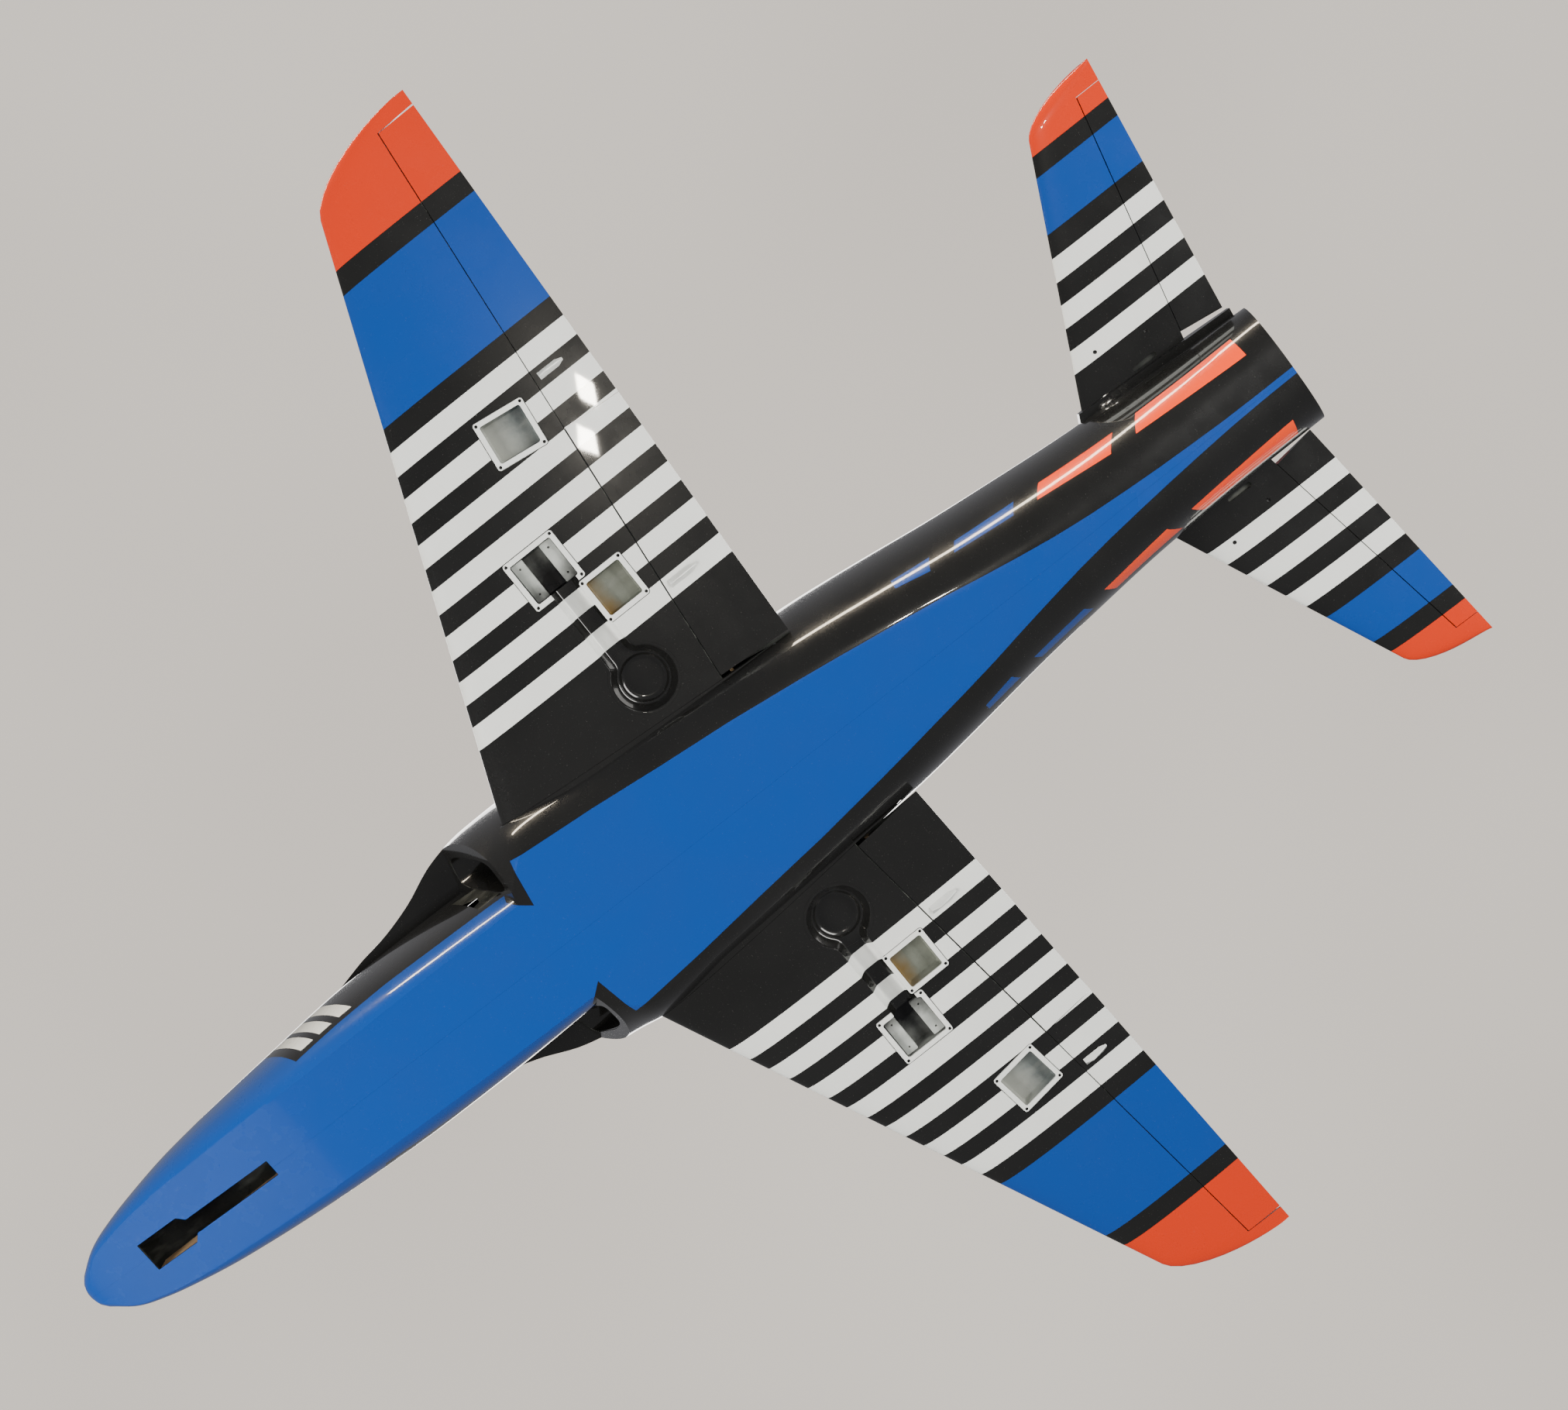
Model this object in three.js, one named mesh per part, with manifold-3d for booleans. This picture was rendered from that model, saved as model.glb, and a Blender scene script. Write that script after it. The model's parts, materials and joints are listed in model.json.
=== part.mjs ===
// A painted, moulded jet model airframe, built from the separate pieces it is assembled from.
// Millimetres. Design datum: on the centreline where the two leading edges would meet,
// +X to port, +Y towards the tail, +Z up, zero height on the wing's root chord plane.
// The last lines move the datum so that the origin is under the middle of the airframe.
import * as THREE from "three";
import { mergeVertices } from "three/addons/utils/BufferGeometryUtils.js";
import Module from "manifold-3d";

const wasm = await Module();
wasm.setup();

// Driving dimensions -------------------------------------------------------------------------

const WALL = 3; // moulded fuselage skin
const GAP = 0.3; // between pieces that touch
const BELLY = -35.7; // lowest line of the fuselage
const NOSE_TIP = -640; // foremost point
const TAIL_TIP = 1022.1; // rearmost point, the stabiliser tips
const PLY = 3; // plywood formers and plates

const WING = {
  lead: (s) => 0.4233 * s,
  trail: (s) => 414.8 + 0.0473 * s,
  height: (s, u) => 0.0395 * s + 1.8 * u,
  ratio: (s) => 0.106 - 0.000015 * s,
  inner: 60,
  rakeStart: 722.4,
  tip: 770.7,
};
const WING_HINGE = (s) => 323.4 + 0.109 * s;
const WING_ROOT = { x: 134, y: 56, slope: -0.0771 };
const AILERON = {
  inner: 412.6,
  innerTrail: 406.4,
  outer: 752.4,
  outerTrail: 755,
  outerSwing: 1.4,
  down: 25,
  up: 25,
};
const FLAP = {
  notch: 90,
  inner: 116,
  innerTrail: 108,
  outer: 413,
  outerTrail: 406.8,
  arcGap: 0.6,
  down: 50,
  up: 0,
};

const STAB = {
  lead: (s) => 770.9 + 0.4532 * s,
  trail: (s) => 985.3 + 0.0979 * s,
  height: (s, u) => 108.9 - 9 * u - 0.0914 * s,
  ratio: () => 0.09,
  inner: 45,
  rakeStart: 346.5,
  tip: 375.9,
};
const STAB_HINGE = (s) => 926.3 + 0.185 * s;
const STAB_ROOT = { x: 86, y: 810, slope: -0.045 };
const ELEVATOR = { notch: 60, inner: 89, innerTrail: 78.4, outer: 351.8, down: 25, up: 25 };
const STAB_TUBES = [
  { name: "front", y: 856, radius: 4, reach: 170 },
  { name: "rear", y: 912, radius: 3, reach: 140 },
];
const STAB_SLOT = { s: 88, y: 893, width: 6, length: 31, depth: 5 };

const FIN = {
  lead: (s) => 600 + 0.78 * s,
  trail: (s) => 950 + 0.15 * s,
  height: () => 0,
  ratio: () => 0.08,
  inner: 110,
  rakeStart: 405,
  tip: 430,
};
const FIN_HINGE = (s) => 850 + 0.3 * s;
const RUDDER = { inner: 182, outer: 400, endGap: 1.6 };

const HINGE_DEPTH = 1.5; // hinge wire above the lower skin
const WIRE = { radius: 0.8, clearance: 1.1 };
const FACE_GAP = 0.3; // each side of a hinge line
const END_GAP = 0.6; // each end of a control surface
const ARC_GAP = 0.4; // round a control surface's curved nose, where it isn't given

const WING_TUBE = { y: 178, z: 6, radius: 10, wall: 1.5, reach: 236 };
const WING_PIN = { y: 316, z: 5, radius: 3, from: 92, to: 142 };
const PIPE = { from: 615, to: 992, front: 50, rear: 57, wall: 1.2, zFront: 66, zRear: 59 };

// Fuselage stations: distance aft, half width, height of the widest point, belly height,
// half width of the flat belly, top height.
const FOREBODY = [
  [NOSE_TIP, 7, 49, 43, 3, 55],
  [-621, 29, 49.5, 29, 17, 71],
  [-600, 42, 50.5, 24, 33, 78],
  [-567, 53, 52, 18, 43, 90],
  [-525, 62.5, 57, 11, 50, 104],
  [-441, 75, 61, -3, 54.5, 124],
  [-315, 85.5, 71, -21, 58, 143],
  [-147, 92, 90, -30, 61, 158],
  [63, 86, 95, -35, 63, 172],
];
const REAR_BODY = [
  [-226, 89, 105, -26, 59, 151],
  [-147, 103.5, 114, -30, 61, 159],
  [-105, 115.5, 115, -31, 62, 163],
  [-63, 133, 115, -33, 64, 166],
  [-21, 143, 106, -34, 66, 168],
  [21, 146, 95, -35, 71, 170],
  [63, 147, 84, BELLY, 102, 172],
  [252, 134, 80, BELLY, 82, 184],
  [441, 118.5, 88, BELLY, 57, 189],
  [609, 96.5, 86, BELLY, 27, 185],
  [777, 80, 81, -29, 11, 174],
  [882, 75, 73, -19, 8, 160],
  [1030, 70.5, 57, -7.5, 6, 124],
];
const SECTION_STEPS = 4; // points in each quarter of a fuselage section
const CROWN_POWER = 2.2; // how square the upper half of a section is
const CREASE = { lift: 0.1, from: 63, to: 525 }; // the chine fades out behind the wing

// Canopy stations: distance aft, half width, top height.
const CANOPY = [
  [-392, 14, 132],
  [-336, 46, 163],
  [-273, 56, 187],
  [-189, 60, 202],
  [-105, 58, 203],
  [-21, 50, 194],
  [76, 22, 176],
];
const CANOPY_BASE = 100;
const HATCH = { half: 66, front: -404, frontTaper: 190, rearTaper: 150, rear: 92 };

// The intake mouth lies in a raked plane under a shelf, and a duct runs in from each mouth.
const MOUTH = { y: -12.1, across: 0.279, down: -0.549, shelf: 114.7, lip: 3 };
const MOUTH_CORNERS = [
  [131, 108],
  [116, 2],
  [76, -26],
  [95, 101],
];
const DUCT = { end: 232, x: 64, z: 66, radius: 29, wall: 1.5, sides: 12, steps: 4 };

const NOSE_WELL = { front: -547, step: -490, rear: -364, wide: 17.9, narrow: 9.9 };

// Fastened frames round the bays in the wing's lower skin: bay centre, size across the span
// and along the chord, pocket depth, and how far aft its outboard edge leans.
const AILERON_BAY = { s: 442, y: 321.5, span: 54, chord: 58, depth: 12, slope: 0.13 };
const FLAP_BAY = { s: 256, y: 307, span: 53, chord: 53, depth: 15, slope: 0 };
const RETRACT_BAY = { s: 313.7, y: 261.3, span: 59, chord: 63, depth: 20, slope: 0 };
const FRAME = { rim: 5.5, thick: 1.8, proud: 0.6, corner: 3, hole: 1.2 };
const RAIL = { width: 13, thick: 5, inset: 3, clear: 1.8 };
const WHEEL_WELL = { s: 164, y: 273, radius: 33.5, floor: 28, depth: 18, wall: 1.2 };
const TROUGH = { from: 168, to: 292, width: 30, depth: 13 };

const AILERON_HORN = { s: 469, length: 30, width: 8, height: 9 };
const FLAP_HORN = { s: 223, length: 34, width: 9, height: 10 };

// Solids -------------------------------------------------------------------------------------

function solidOf(geometry) {
  const bare = new THREE.BufferGeometry();
  bare.setAttribute("position", geometry.getAttribute("position"));
  bare.setIndex(geometry.getIndex());
  const merged = mergeVertices(bare, 1e-4);
  const mesh = new wasm.Mesh({
    numProp: 3,
    vertProperties: merged.attributes.position.array,
    triVerts: new Uint32Array(merged.index.array),
  });
  const solid = new wasm.Manifold(mesh);
  if (solid.volume() > 0) return solid;
  mesh.triVerts = mesh.triVerts.map((_, k, all) => all[k + [0, 1, -1][k % 3]]);
  return new wasm.Manifold(mesh);
}

function geometryOf(solid) {
  const mesh = solid.getMesh();
  const geometry = new THREE.BufferGeometry();
  geometry.setAttribute("position", new THREE.BufferAttribute(mesh.vertProperties, 3));
  geometry.setIndex(new THREE.BufferAttribute(mesh.triVerts, 1));
  const faceted = geometry.toNonIndexed();
  faceted.computeVertexNormals();
  return faceted;
}

function union(solids) {
  return solids.reduce((whole, solid) => whole.add(solid));
}

// Triangles that close a flat ring, wound the way the ring runs.
function capFaces(ring) {
  const normal = new THREE.Vector3();
  const turn = new THREE.Vector3();
  ring.forEach((p, k) => normal.add(turn.crossVectors(p, ring[(k + 1) % ring.length])));
  const sizes = normal.toArray().map(Math.abs);
  const dropped = sizes.indexOf(Math.max(...sizes));
  const [a, b] = [0, 1, 2].filter((axis) => axis !== dropped);
  const flat = ring.map((p) => new THREE.Vector2(p.getComponent(a), p.getComponent(b)));
  return THREE.ShapeUtils.triangulateShape(flat, []).map(([i, j, k]) => {
    const side = new THREE.Vector3().subVectors(ring[j], ring[i]);
    turn.subVectors(ring[k], ring[i]);
    return side.cross(turn).dot(normal) > 0 ? [i, j, k] : [i, k, j];
  });
}

// A closed body through rings of the same number of points, with flat ends.
function loft(rings) {
  const count = rings[0].length;
  const last = (rings.length - 1) * count;
  const points = rings.flat();
  const faces = capFaces(rings[0]).map(([i, j, k]) => [i, k, j]);
  faces.push(...capFaces(rings.at(-1)).map((face) => face.map((k) => k + last)));
  for (let start = 0; start < last; start += count) {
    for (let k = 0; k < count; k++) {
      const a = start + k;
      const b = start + ((k + 1) % count);
      faces.push([a, b, b + count], [a, b + count, a + count]);
    }
  }
  const geometry = new THREE.BufferGeometry().setFromPoints(points);
  geometry.setIndex(faces.flat());
  return solidOf(geometry);
}

// An upright block over an outline in plan.
function planBlock(outline, low, high) {
  return loft([low, high].map((z) => outline.map(([x, y]) => new THREE.Vector3(x, y, z))));
}

function box(low, high) {
  const size = high.map((value, axis) => value - low[axis]);
  const centre = high.map((value, axis) => (value + low[axis]) / 2);
  return solidOf(new THREE.BoxGeometry(...size).translate(...centre));
}

function rod(from, to, radius, sides = 10, endRadius = radius) {
  const start = new THREE.Vector3(...from);
  const along = new THREE.Vector3(...to).sub(start);
  const turn = new THREE.Quaternion();
  turn.setFromUnitVectors(new THREE.Vector3(0, 1, 0), along.clone().normalize());
  const geometry = new THREE.CylinderGeometry(endRadius, radius, along.length(), sides);
  geometry.applyQuaternion(turn).translate(...start.addScaledVector(along, 0.5).toArray());
  return solidOf(geometry);
}

// A rod across the span, such as the wing tube or a pin, or the bore that takes it.
function spanwise({ y, z, radius }, from, to, grow = 0) {
  return rod([from, y, z], [to, y, z], radius + grow, 12);
}

function roundedShape(width, length, radius) {
  const [x, y] = [width / 2 - radius, length / 2 - radius];
  const shape = new THREE.Shape();
  shape.absarc(x, y, radius, 0, Math.PI / 2);
  shape.absarc(-x, y, radius, Math.PI / 2, Math.PI);
  shape.absarc(-x, -y, radius, Math.PI, 1.5 * Math.PI);
  shape.absarc(x, -y, radius, 1.5 * Math.PI, 2 * Math.PI);
  return shape;
}

function extruded(shape, low, high, matrix = new THREE.Matrix4(), curveSegments = 2) {
  const depth = high - low;
  const geometry = new THREE.ExtrudeGeometry(shape, { depth, bevelEnabled: false, curveSegments });
  return solidOf(geometry.translate(0, 0, low).applyMatrix4(matrix));
}

function mirrored(solid) {
  return solidOf(geometryOf(solid).scale(-1, 1, 1));
}

// Lifting surfaces -----------------------------------------------------------------------------

const SKIN_STEPS = 7;

// Half the thickness of a symmetric aerofoil, with a trailing edge 1.2 mm thick.
function halfThickness(u, ratio, chord) {
  const root = 0.2969 * Math.sqrt(u);
  const body = root - 0.126 * u - 0.3516 * u ** 2 + 0.2843 * u ** 3 - 0.1036 * u ** 4;
  return 5 * ratio * body * chord + 0.6 * u;
}

function chordLine(panel, s) {
  const rake = THREE.MathUtils.clamp((s - panel.rakeStart) / (panel.tip - panel.rakeStart), 0, 1);
  const trail = panel.trail(s);
  const chord = (trail - panel.lead(s)) * Math.sqrt(1 - rake ** 2);
  return { lead: trail - chord, chord };
}

// A point of a panel's skin: side +1 is the upper skin, -1 the lower, 0 the chord plane.
function panelPoint(panel, s, u, side, grow = 0) {
  const { lead, chord } = chordLine(panel, s);
  const half = halfThickness(u, panel.ratio(s), chord) + grow;
  const y = lead + u * chord + grow * (2 * u - 1);
  return new THREE.Vector3(s, y, panel.height(s, u) + side * half);
}

function skinHeight(panel, s, y, side) {
  const { lead, chord } = chordLine(panel, s);
  return panelPoint(panel, s, (y - lead) / chord, side).z;
}

function panelRing(panel, s, grow) {
  const ring = [];
  for (let k = 0; k <= SKIN_STEPS; k++) {
    ring.push(panelPoint(panel, s, (1 + Math.cos((Math.PI * k) / SKIN_STEPS)) / 2, 1, grow));
  }
  for (let k = grow ? 0 : 1; k <= SKIN_STEPS; k++) {
    ring.push(panelPoint(panel, s, (1 - Math.cos((Math.PI * k) / SKIN_STEPS)) / 2, -1, grow));
  }
  return ring;
}

// A whole panel from inside the fuselage to its raked tip.
function panelLoft(panel, grow = 0) {
  const rake = panel.tip - panel.rakeStart;
  const angles = [0, 25, 48, 68, 84];
  const stations = angles.map((a) => panel.rakeStart + rake * Math.sin((a * Math.PI) / 180));
  return loft([panel.inner, ...stations].map((s) => panelRing(panel, s, grow)));
}

// Everything inboard of a panel's root face.
function inboard(root, offset = 0) {
  const edge = (y) => root.x + offset + root.slope * (y - root.y);
  return planBlock([[0, -300], [edge(-300), -300], [edge(1200), 1200], [0, 1200]], -150, 250);
}

// Fuselage -------------------------------------------------------------------------------------

function bodySection([y, halfWidth, widest, belly, flat, top], inset) {
  const side = halfWidth - inset;
  const low = belly + inset;
  const crown = top - inset;
  const corner = Math.max(Math.min(flat, side - 2), 1);
  const fade = THREE.MathUtils.clamp((CREASE.to - y) / (CREASE.to - CREASE.from), 0, 1);
  const lower = new THREE.CubicBezierCurve(
    new THREE.Vector2(corner, low),
    new THREE.Vector2(corner + 0.6 * (side - corner), low + CREASE.lift * fade * (widest - low)),
    new THREE.Vector2(side, widest - 0.6 * (widest - low)),
    new THREE.Vector2(side, widest),
  ).getPoints(SECTION_STEPS);
  const power = 2 / CROWN_POWER;
  const upper = Array.from({ length: SECTION_STEPS }, (_, k) => {
    const angle = ((k + 1) / SECTION_STEPS) * (Math.PI / 2);
    const x = k + 1 < SECTION_STEPS ? side * Math.cos(angle) ** power : 0;
    return new THREE.Vector2(x, widest + (crown - widest) * Math.sin(angle) ** power);
  });
  const half = [...lower, ...upper].map((p) => new THREE.Vector3(p.x, y, p.y));
  const other = half.slice(0, -1).reverse();
  return [...half, ...other.map((p) => new THREE.Vector3(-p.x, p.y, p.z))];
}

function canopySection([y, halfWidth, top], inset) {
  const side = halfWidth - inset;
  const steps = 2 * SECTION_STEPS;
  return Array.from({ length: steps + 1 }, (_, k) => {
    const angle = (Math.PI * k) / steps;
    const x = side * Math.sign(Math.cos(angle)) * Math.abs(Math.cos(angle)) ** 0.85;
    const rise = top - inset - CANOPY_BASE;
    return new THREE.Vector3(x, y, CANOPY_BASE + rise * Math.sin(angle) ** 0.85);
  });
}

// Everything in front of the two raked intake mouths and under the shelf above them.
function beforeMouths(lip = 0) {
  const low = -90;
  const high = MOUTH.shelf + lip;
  const mouth = (x, z) => MOUTH.y + lip + MOUTH.across * Math.abs(x) + MOUTH.down * z;
  return loft(
    [-220, 0, 220].map((x) => [
      new THREE.Vector3(x, -300, low),
      new THREE.Vector3(x, mouth(x, low), low),
      new THREE.Vector3(x, mouth(x, high), high),
      new THREE.Vector3(x, -300, high),
    ]),
  );
}

function behindTail() {
  const rim = (z) => 993 + 0.18 * z;
  return loft(
    [-200, 200].map((x) => [
      new THREE.Vector3(x, rim(-60), -60),
      new THREE.Vector3(x, 1200, -60),
      new THREE.Vector3(x, 1200, 260),
      new THREE.Vector3(x, rim(260), 260),
    ]),
  );
}

// The fuselage's outer form, or with an inset the space inside its skin.
function bodyForm(inset = 0) {
  const lip = inset > 0 ? MOUTH.lip + inset - WALL : 0;
  const rear = loft(REAR_BODY.map((row) => bodySection(row, inset))).subtract(beforeMouths(lip));
  const [first, ...rest] = FOREBODY;
  const front = inset > 0 ? rest.slice(1) : [first, ...rest];
  const nose = loft(front.map((row) => bodySection(row, inset)));
  const canopy = loft(CANOPY.slice(inset > 0 ? 1 : 0).map((row) => canopySection(row, inset)));
  return union([rear, nose, canopy]);
}

// The space inside the fuselage's skin, which also runs behind the wing's and stabiliser's seats.
function interior(inset) {
  const behindSeat = (panel, root) => panelLoft(panel, inset).subtract(inboard(root, -inset));
  const seats = union([behindSeat(WING, WING_ROOT), behindSeat(STAB, STAB_ROOT)]);
  return bodyForm(inset).subtract(seats).subtract(mirrored(seats));
}

// A panel's stub on the fuselage's side, which the panel's root face meets.
function rootStub(panel, root, grow) {
  return panelLoft(panel, grow).intersect(inboard(root));
}

function ductRing(t, grow, side) {
  const corners = MOUTH_CORNERS.map(([x, z]) => new THREE.Vector2(x, z));
  const middle = corners.reduce((sum, c) => sum.add(c), new THREE.Vector2()).multiplyScalar(0.25);
  const ease = t * t * (3 - 2 * t);
  return Array.from({ length: DUCT.sides }, (_, k) => {
    const angle = (2 * Math.PI * (k + 0.5)) / DUCT.sides;
    const [c, s] = [Math.cos(angle), Math.sin(angle)];
    const u = (1 + Math.sign(c) * Math.abs(c) ** 0.5) / 2;
    const v = (1 + Math.sign(s) * Math.abs(s) ** 0.5) / 2;
    const top = corners[3].clone().lerp(corners[0], u);
    const mouth = corners[2].clone().lerp(corners[1], u).lerp(top, v);
    const out = mouth.clone().sub(middle);
    mouth.addScaledVector(out.normalize(), grow);
    const radius = DUCT.radius + grow;
    const end = new THREE.Vector2(DUCT.x + radius * c, DUCT.z + radius * s);
    const at = mouth.clone().lerp(end, ease);
    const start = MOUTH.y + 0.5 + MOUTH.across * mouth.x + MOUTH.down * mouth.y;
    return new THREE.Vector3(side * at.x, start + (DUCT.end - start) * t, at.y);
  });
}

// A duct's form grown by an amount, and run past both ends when it is a cutter.
function ductForm(grow, past = 0) {
  const rings = Array.from({ length: DUCT.steps + 1 }, (_, k) => ductRing(k / DUCT.steps, grow, 1));
  if (past) {
    rings.unshift(rings[0].map((p) => p.clone().setY(p.y - past)));
    rings.push(rings.at(-1).map((p) => p.clone().setY(p.y + past)));
  }
  return loft(rings);
}

function hatchOutline(grow) {
  const { half, front, frontTaper, rearTaper, rear } = HATCH;
  const [a, b] = [front + frontTaper, rear - rearTaper];
  const shape = new THREE.Shape();
  shape.absellipse(0, b, half + grow, rearTaper + grow, 0, Math.PI, false, 0);
  shape.absellipse(0, a, half + grow, frontTaper + grow, Math.PI, 2 * Math.PI, false, 0);
  return extruded(shape, CANOPY_BASE - 10, 240, new THREE.Matrix4(), 6);
}

function noseWellCut() {
  const { front, step, rear, wide, narrow } = NOSE_WELL;
  const port = [[wide, front], [wide, step], [narrow, step + 8], [narrow, rear]];
  const starboard = port.map(([x, y]) => [-x, y]).reverse();
  return planBlock([...port, ...starboard], -80, 45);
}

function pipeForm(grow, past = 0) {
  return rod(
    [0, PIPE.from - past, PIPE.zFront],
    [0, PIPE.to + past, PIPE.zRear],
    PIPE.front + grow,
    16,
    PIPE.rear + grow,
  );
}

function shellParts() {
  const wingStub = rootStub(WING, WING_ROOT, 0);
  const stabStub = rootStub(STAB, STAB_ROOT, 5);
  const wingRoom = panelLoft(WING, GAP).subtract(inboard(WING_ROOT));
  const stabRoom = panelLoft(STAB, GAP).subtract(inboard(STAB_ROOT));
  const tube = spanwise(WING_TUBE, -150, 150, GAP);
  const pin = spanwise(WING_PIN, 60, 160, GAP);
  const duct = ductForm(DUCT.wall + GAP, 30);
  const full = union([bodyForm(), wingStub, mirrored(wingStub), stabStub, mirrored(stabStub)]);
  const shell = full
    .subtract(union([wingRoom, mirrored(wingRoom), stabRoom, mirrored(stabRoom)]))
    .subtract(interior(WALL))
    .subtract(union([tube, pin, mirrored(pin), duct, mirrored(duct)]))
    .subtract(union([noseWellCut(), behindTail(), ...stabTubeHoles()]));
  const seam = box([-GAP / 2, -700, -100], [GAP / 2, 1100, 260]);
  const halves = shell.subtract(hatchOutline(0.4)).subtract(seam);
  const port = box([0, -700, -100], [300, 1100, 260]);
  return {
    hatch: shell.intersect(hatchOutline(0)),
    port: halves.intersect(port),
    starboard: halves.subtract(port),
  };
}

function former(y, [halfWidth, low, high], inside, cutters = []) {
  const slab = box([-200, y, -100], [200, y + PLY, 260]);
  const window = roundedShape(2 * halfWidth, high - low, Math.min(12, (high - low) / 4));
  const turn = new THREE.Matrix4().makeRotationX(Math.PI / 2);
  turn.setPosition(0, y + PLY / 2, (low + high) / 2);
  return [extruded(window, -PLY, PLY, turn), ...cutters].reduce(
    (solid, cutter) => solid.subtract(cutter),
    slab.intersect(inside),
  );
}

// Control surfaces ------------------------------------------------------------------------------

// The hinge wire's line, a little above the lower skin.
function wirePoint(panel, hinge, s) {
  const y = hinge(s);
  return new THREE.Vector3(s, y, skinHeight(panel, s, y, -1) + HINGE_DEPTH);
}

// A sector round a straight hinge wire, through rings at the given places on the span. Angles
// are from straight up towards the nose; foot is how far the cut opens ahead of the wire below it.
function hingeSector(panel, [start, end], places, grow, from, to, foot) {
  const steps = 5;
  const rings = places.map((s) => {
    const centre = start.clone().lerp(end, (s - start.x) / (end.x - start.x));
    const reach = skinHeight(panel, s, centre.y, 1) - centre.z + grow;
    const arc = Array.from({ length: steps + 1 }, (_, k) => {
      const angle = THREE.MathUtils.degToRad(from + ((to - from) * k) / steps);
      return [-reach * Math.sin(angle), reach * Math.cos(angle)];
    });
    const drop = -HINGE_DEPTH - 2;
    const base = foot > 0 ? [[-FACE_GAP, 0], [-foot, drop], [FACE_GAP, drop]] : [[0, 0]];
    return [...arc, ...base].map(([y, z]) => new THREE.Vector3(s, centre.y + y, centre.z + z));
  });
  return loft(rings);
}

// Cuts one bottom-hinged surface out of a panel. Gives back the panel without it, the surface
// and its hinge wire.
function hingedSurface(panel, solid, hinge, part) {
  const { inner, outer, down, up } = part;
  const innerTrail = part.innerTrail ?? inner;
  const outerTrail = part.outerTrail ?? outer;
  const outline = (from, fromTrail, gap, face, swing) => [
    [from + gap, hinge(from) + face],
    [outer - gap, hinge(outer) + face],
    [outerTrail - gap - swing, panel.trail(outer) + 20],
    [fromTrail + gap, panel.trail(inner) + 20],
  ];
  const foot = HINGE_DEPTH * Math.tan(THREE.MathUtils.degToRad(down)) + 2 * FACE_GAP;
  const line = [inner, outer].map((s) => wirePoint(panel, hinge, s));
  const places = (from, to) => [from, Math.min(panel.rakeStart, to - 1), to];
  const ends = [part.notch ?? inner, outer];
  const around = part.arcGap ?? ARC_GAP;
  const cove = hingeSector(panel, line, places(...ends), around, -6, down + up + 5, foot);
  const within = places(inner + END_GAP, outer - END_GAP);
  const nose = hingeSector(panel, line, within, 0, -6, down + 2, 0);
  const wire = (radius, past) => {
    const along = line[1].clone().sub(line[0]).normalize();
    const from = line[0].clone().addScaledVector(along, -past);
    return rod(from.toArray(), line[1].clone().addScaledVector(along, past).toArray(), radius, 8);
  };
  const cut = planBlock(outline(ends[0], part.notch ?? innerTrail, 0, -FACE_GAP, 0), -80, 250);
  const shape = outline(inner, innerTrail, END_GAP, FACE_GAP, part.outerSwing ?? 0);
  const body = planBlock(shape, -80, 250);
  return {
    rest: solid.subtract(cut).subtract(cove).subtract(wire(WIRE.clearance, -1)),
    surface: solid.intersect(body).add(nose).subtract(wire(WIRE.clearance, 1)),
    wire: wire(WIRE.radius, -2),
  };
}

// Wings -----------------------------------------------------------------------------------------

// Axes lying on a wing's lower skin: x outboard, leaning aft by a slope, y aft, z into the wing.
function skinSeat(s, y, slope = 0) {
  const point = (x, aft) => new THREE.Vector3(x, aft, skinHeight(WING, x, aft, -1));
  const origin = point(s, y);
  const along = point(s + 5, y + 5 * slope).sub(origin).normalize();
  const inward = along.clone().cross(point(s, y + 5).sub(origin)).normalize();
  const aft = inward.clone().cross(along);
  return new THREE.Matrix4().makeBasis(along, aft, inward).setPosition(origin);
}

function bayPocket({ s, y, span, chord, depth, slope }) {
  const seat = skinSeat(s, y, slope);
  const { rim, thick, proud, corner } = FRAME;
  const recess = roundedShape(span + 2 * GAP, chord + 2 * GAP, corner);
  const opening = roundedShape(span - 2 * rim, chord - 2 * rim, corner);
  const room = extruded(recess, -5, thick - proud + GAP, seat, 1);
  return room.add(extruded(opening, -5, depth, seat, 1));
}

function bayFrame({ s, y, span, chord, slope }) {
  const { rim, thick, proud, corner, hole } = FRAME;
  const shape = roundedShape(span, chord, corner);
  shape.holes.push(roundedShape(span - 2 * rim, chord - 2 * rim, corner - 1));
  for (const [sx, sy] of [[1, 1], [1, -1], [-1, 1], [-1, -1]]) {
    const screw = new THREE.Path();
    screw.absarc(sx * (span / 2 - 3.2), sy * (chord / 2 - 3.2), hole, 0, 2 * Math.PI);
    shape.holes.push(screw);
  }
  return extruded(shape, -proud, thick - proud, skinSeat(s, y, slope));
}

// One of the two bearers that the leg's base screws to, across a retract bay's floor.
function retractRail(end) {
  const { s, y, span, chord } = RETRACT_BAY;
  const { width, thick, inset, clear } = RAIL;
  const length = span - 2 * (FRAME.rim + clear);
  const middle = end * ((chord - width) / 2 - FRAME.rim - clear);
  const bar = new THREE.BoxGeometry(length, width, thick);
  bar.translate(0, middle, FRAME.thick + inset + thick / 2);
  return solidOf(bar.applyMatrix4(skinSeat(s, y)));
}

function wellCup() {
  const { s, y, radius, floor, depth, wall } = WHEEL_WELL;
  const profile = [
    [0, depth - wall],
    [floor - wall, depth - wall],
    [radius - wall, 0.6],
    [radius, 0.6],
    [floor, depth],
    [0, depth],
  ].map(([r, z]) => new THREE.Vector2(r, z));
  const geometry = new THREE.LatheGeometry(profile, 16);
  geometry.rotateX(Math.PI / 2);
  return solidOf(geometry.applyMatrix4(skinSeat(s, y))).subtract(troughCut(2 * GAP));
}

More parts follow.
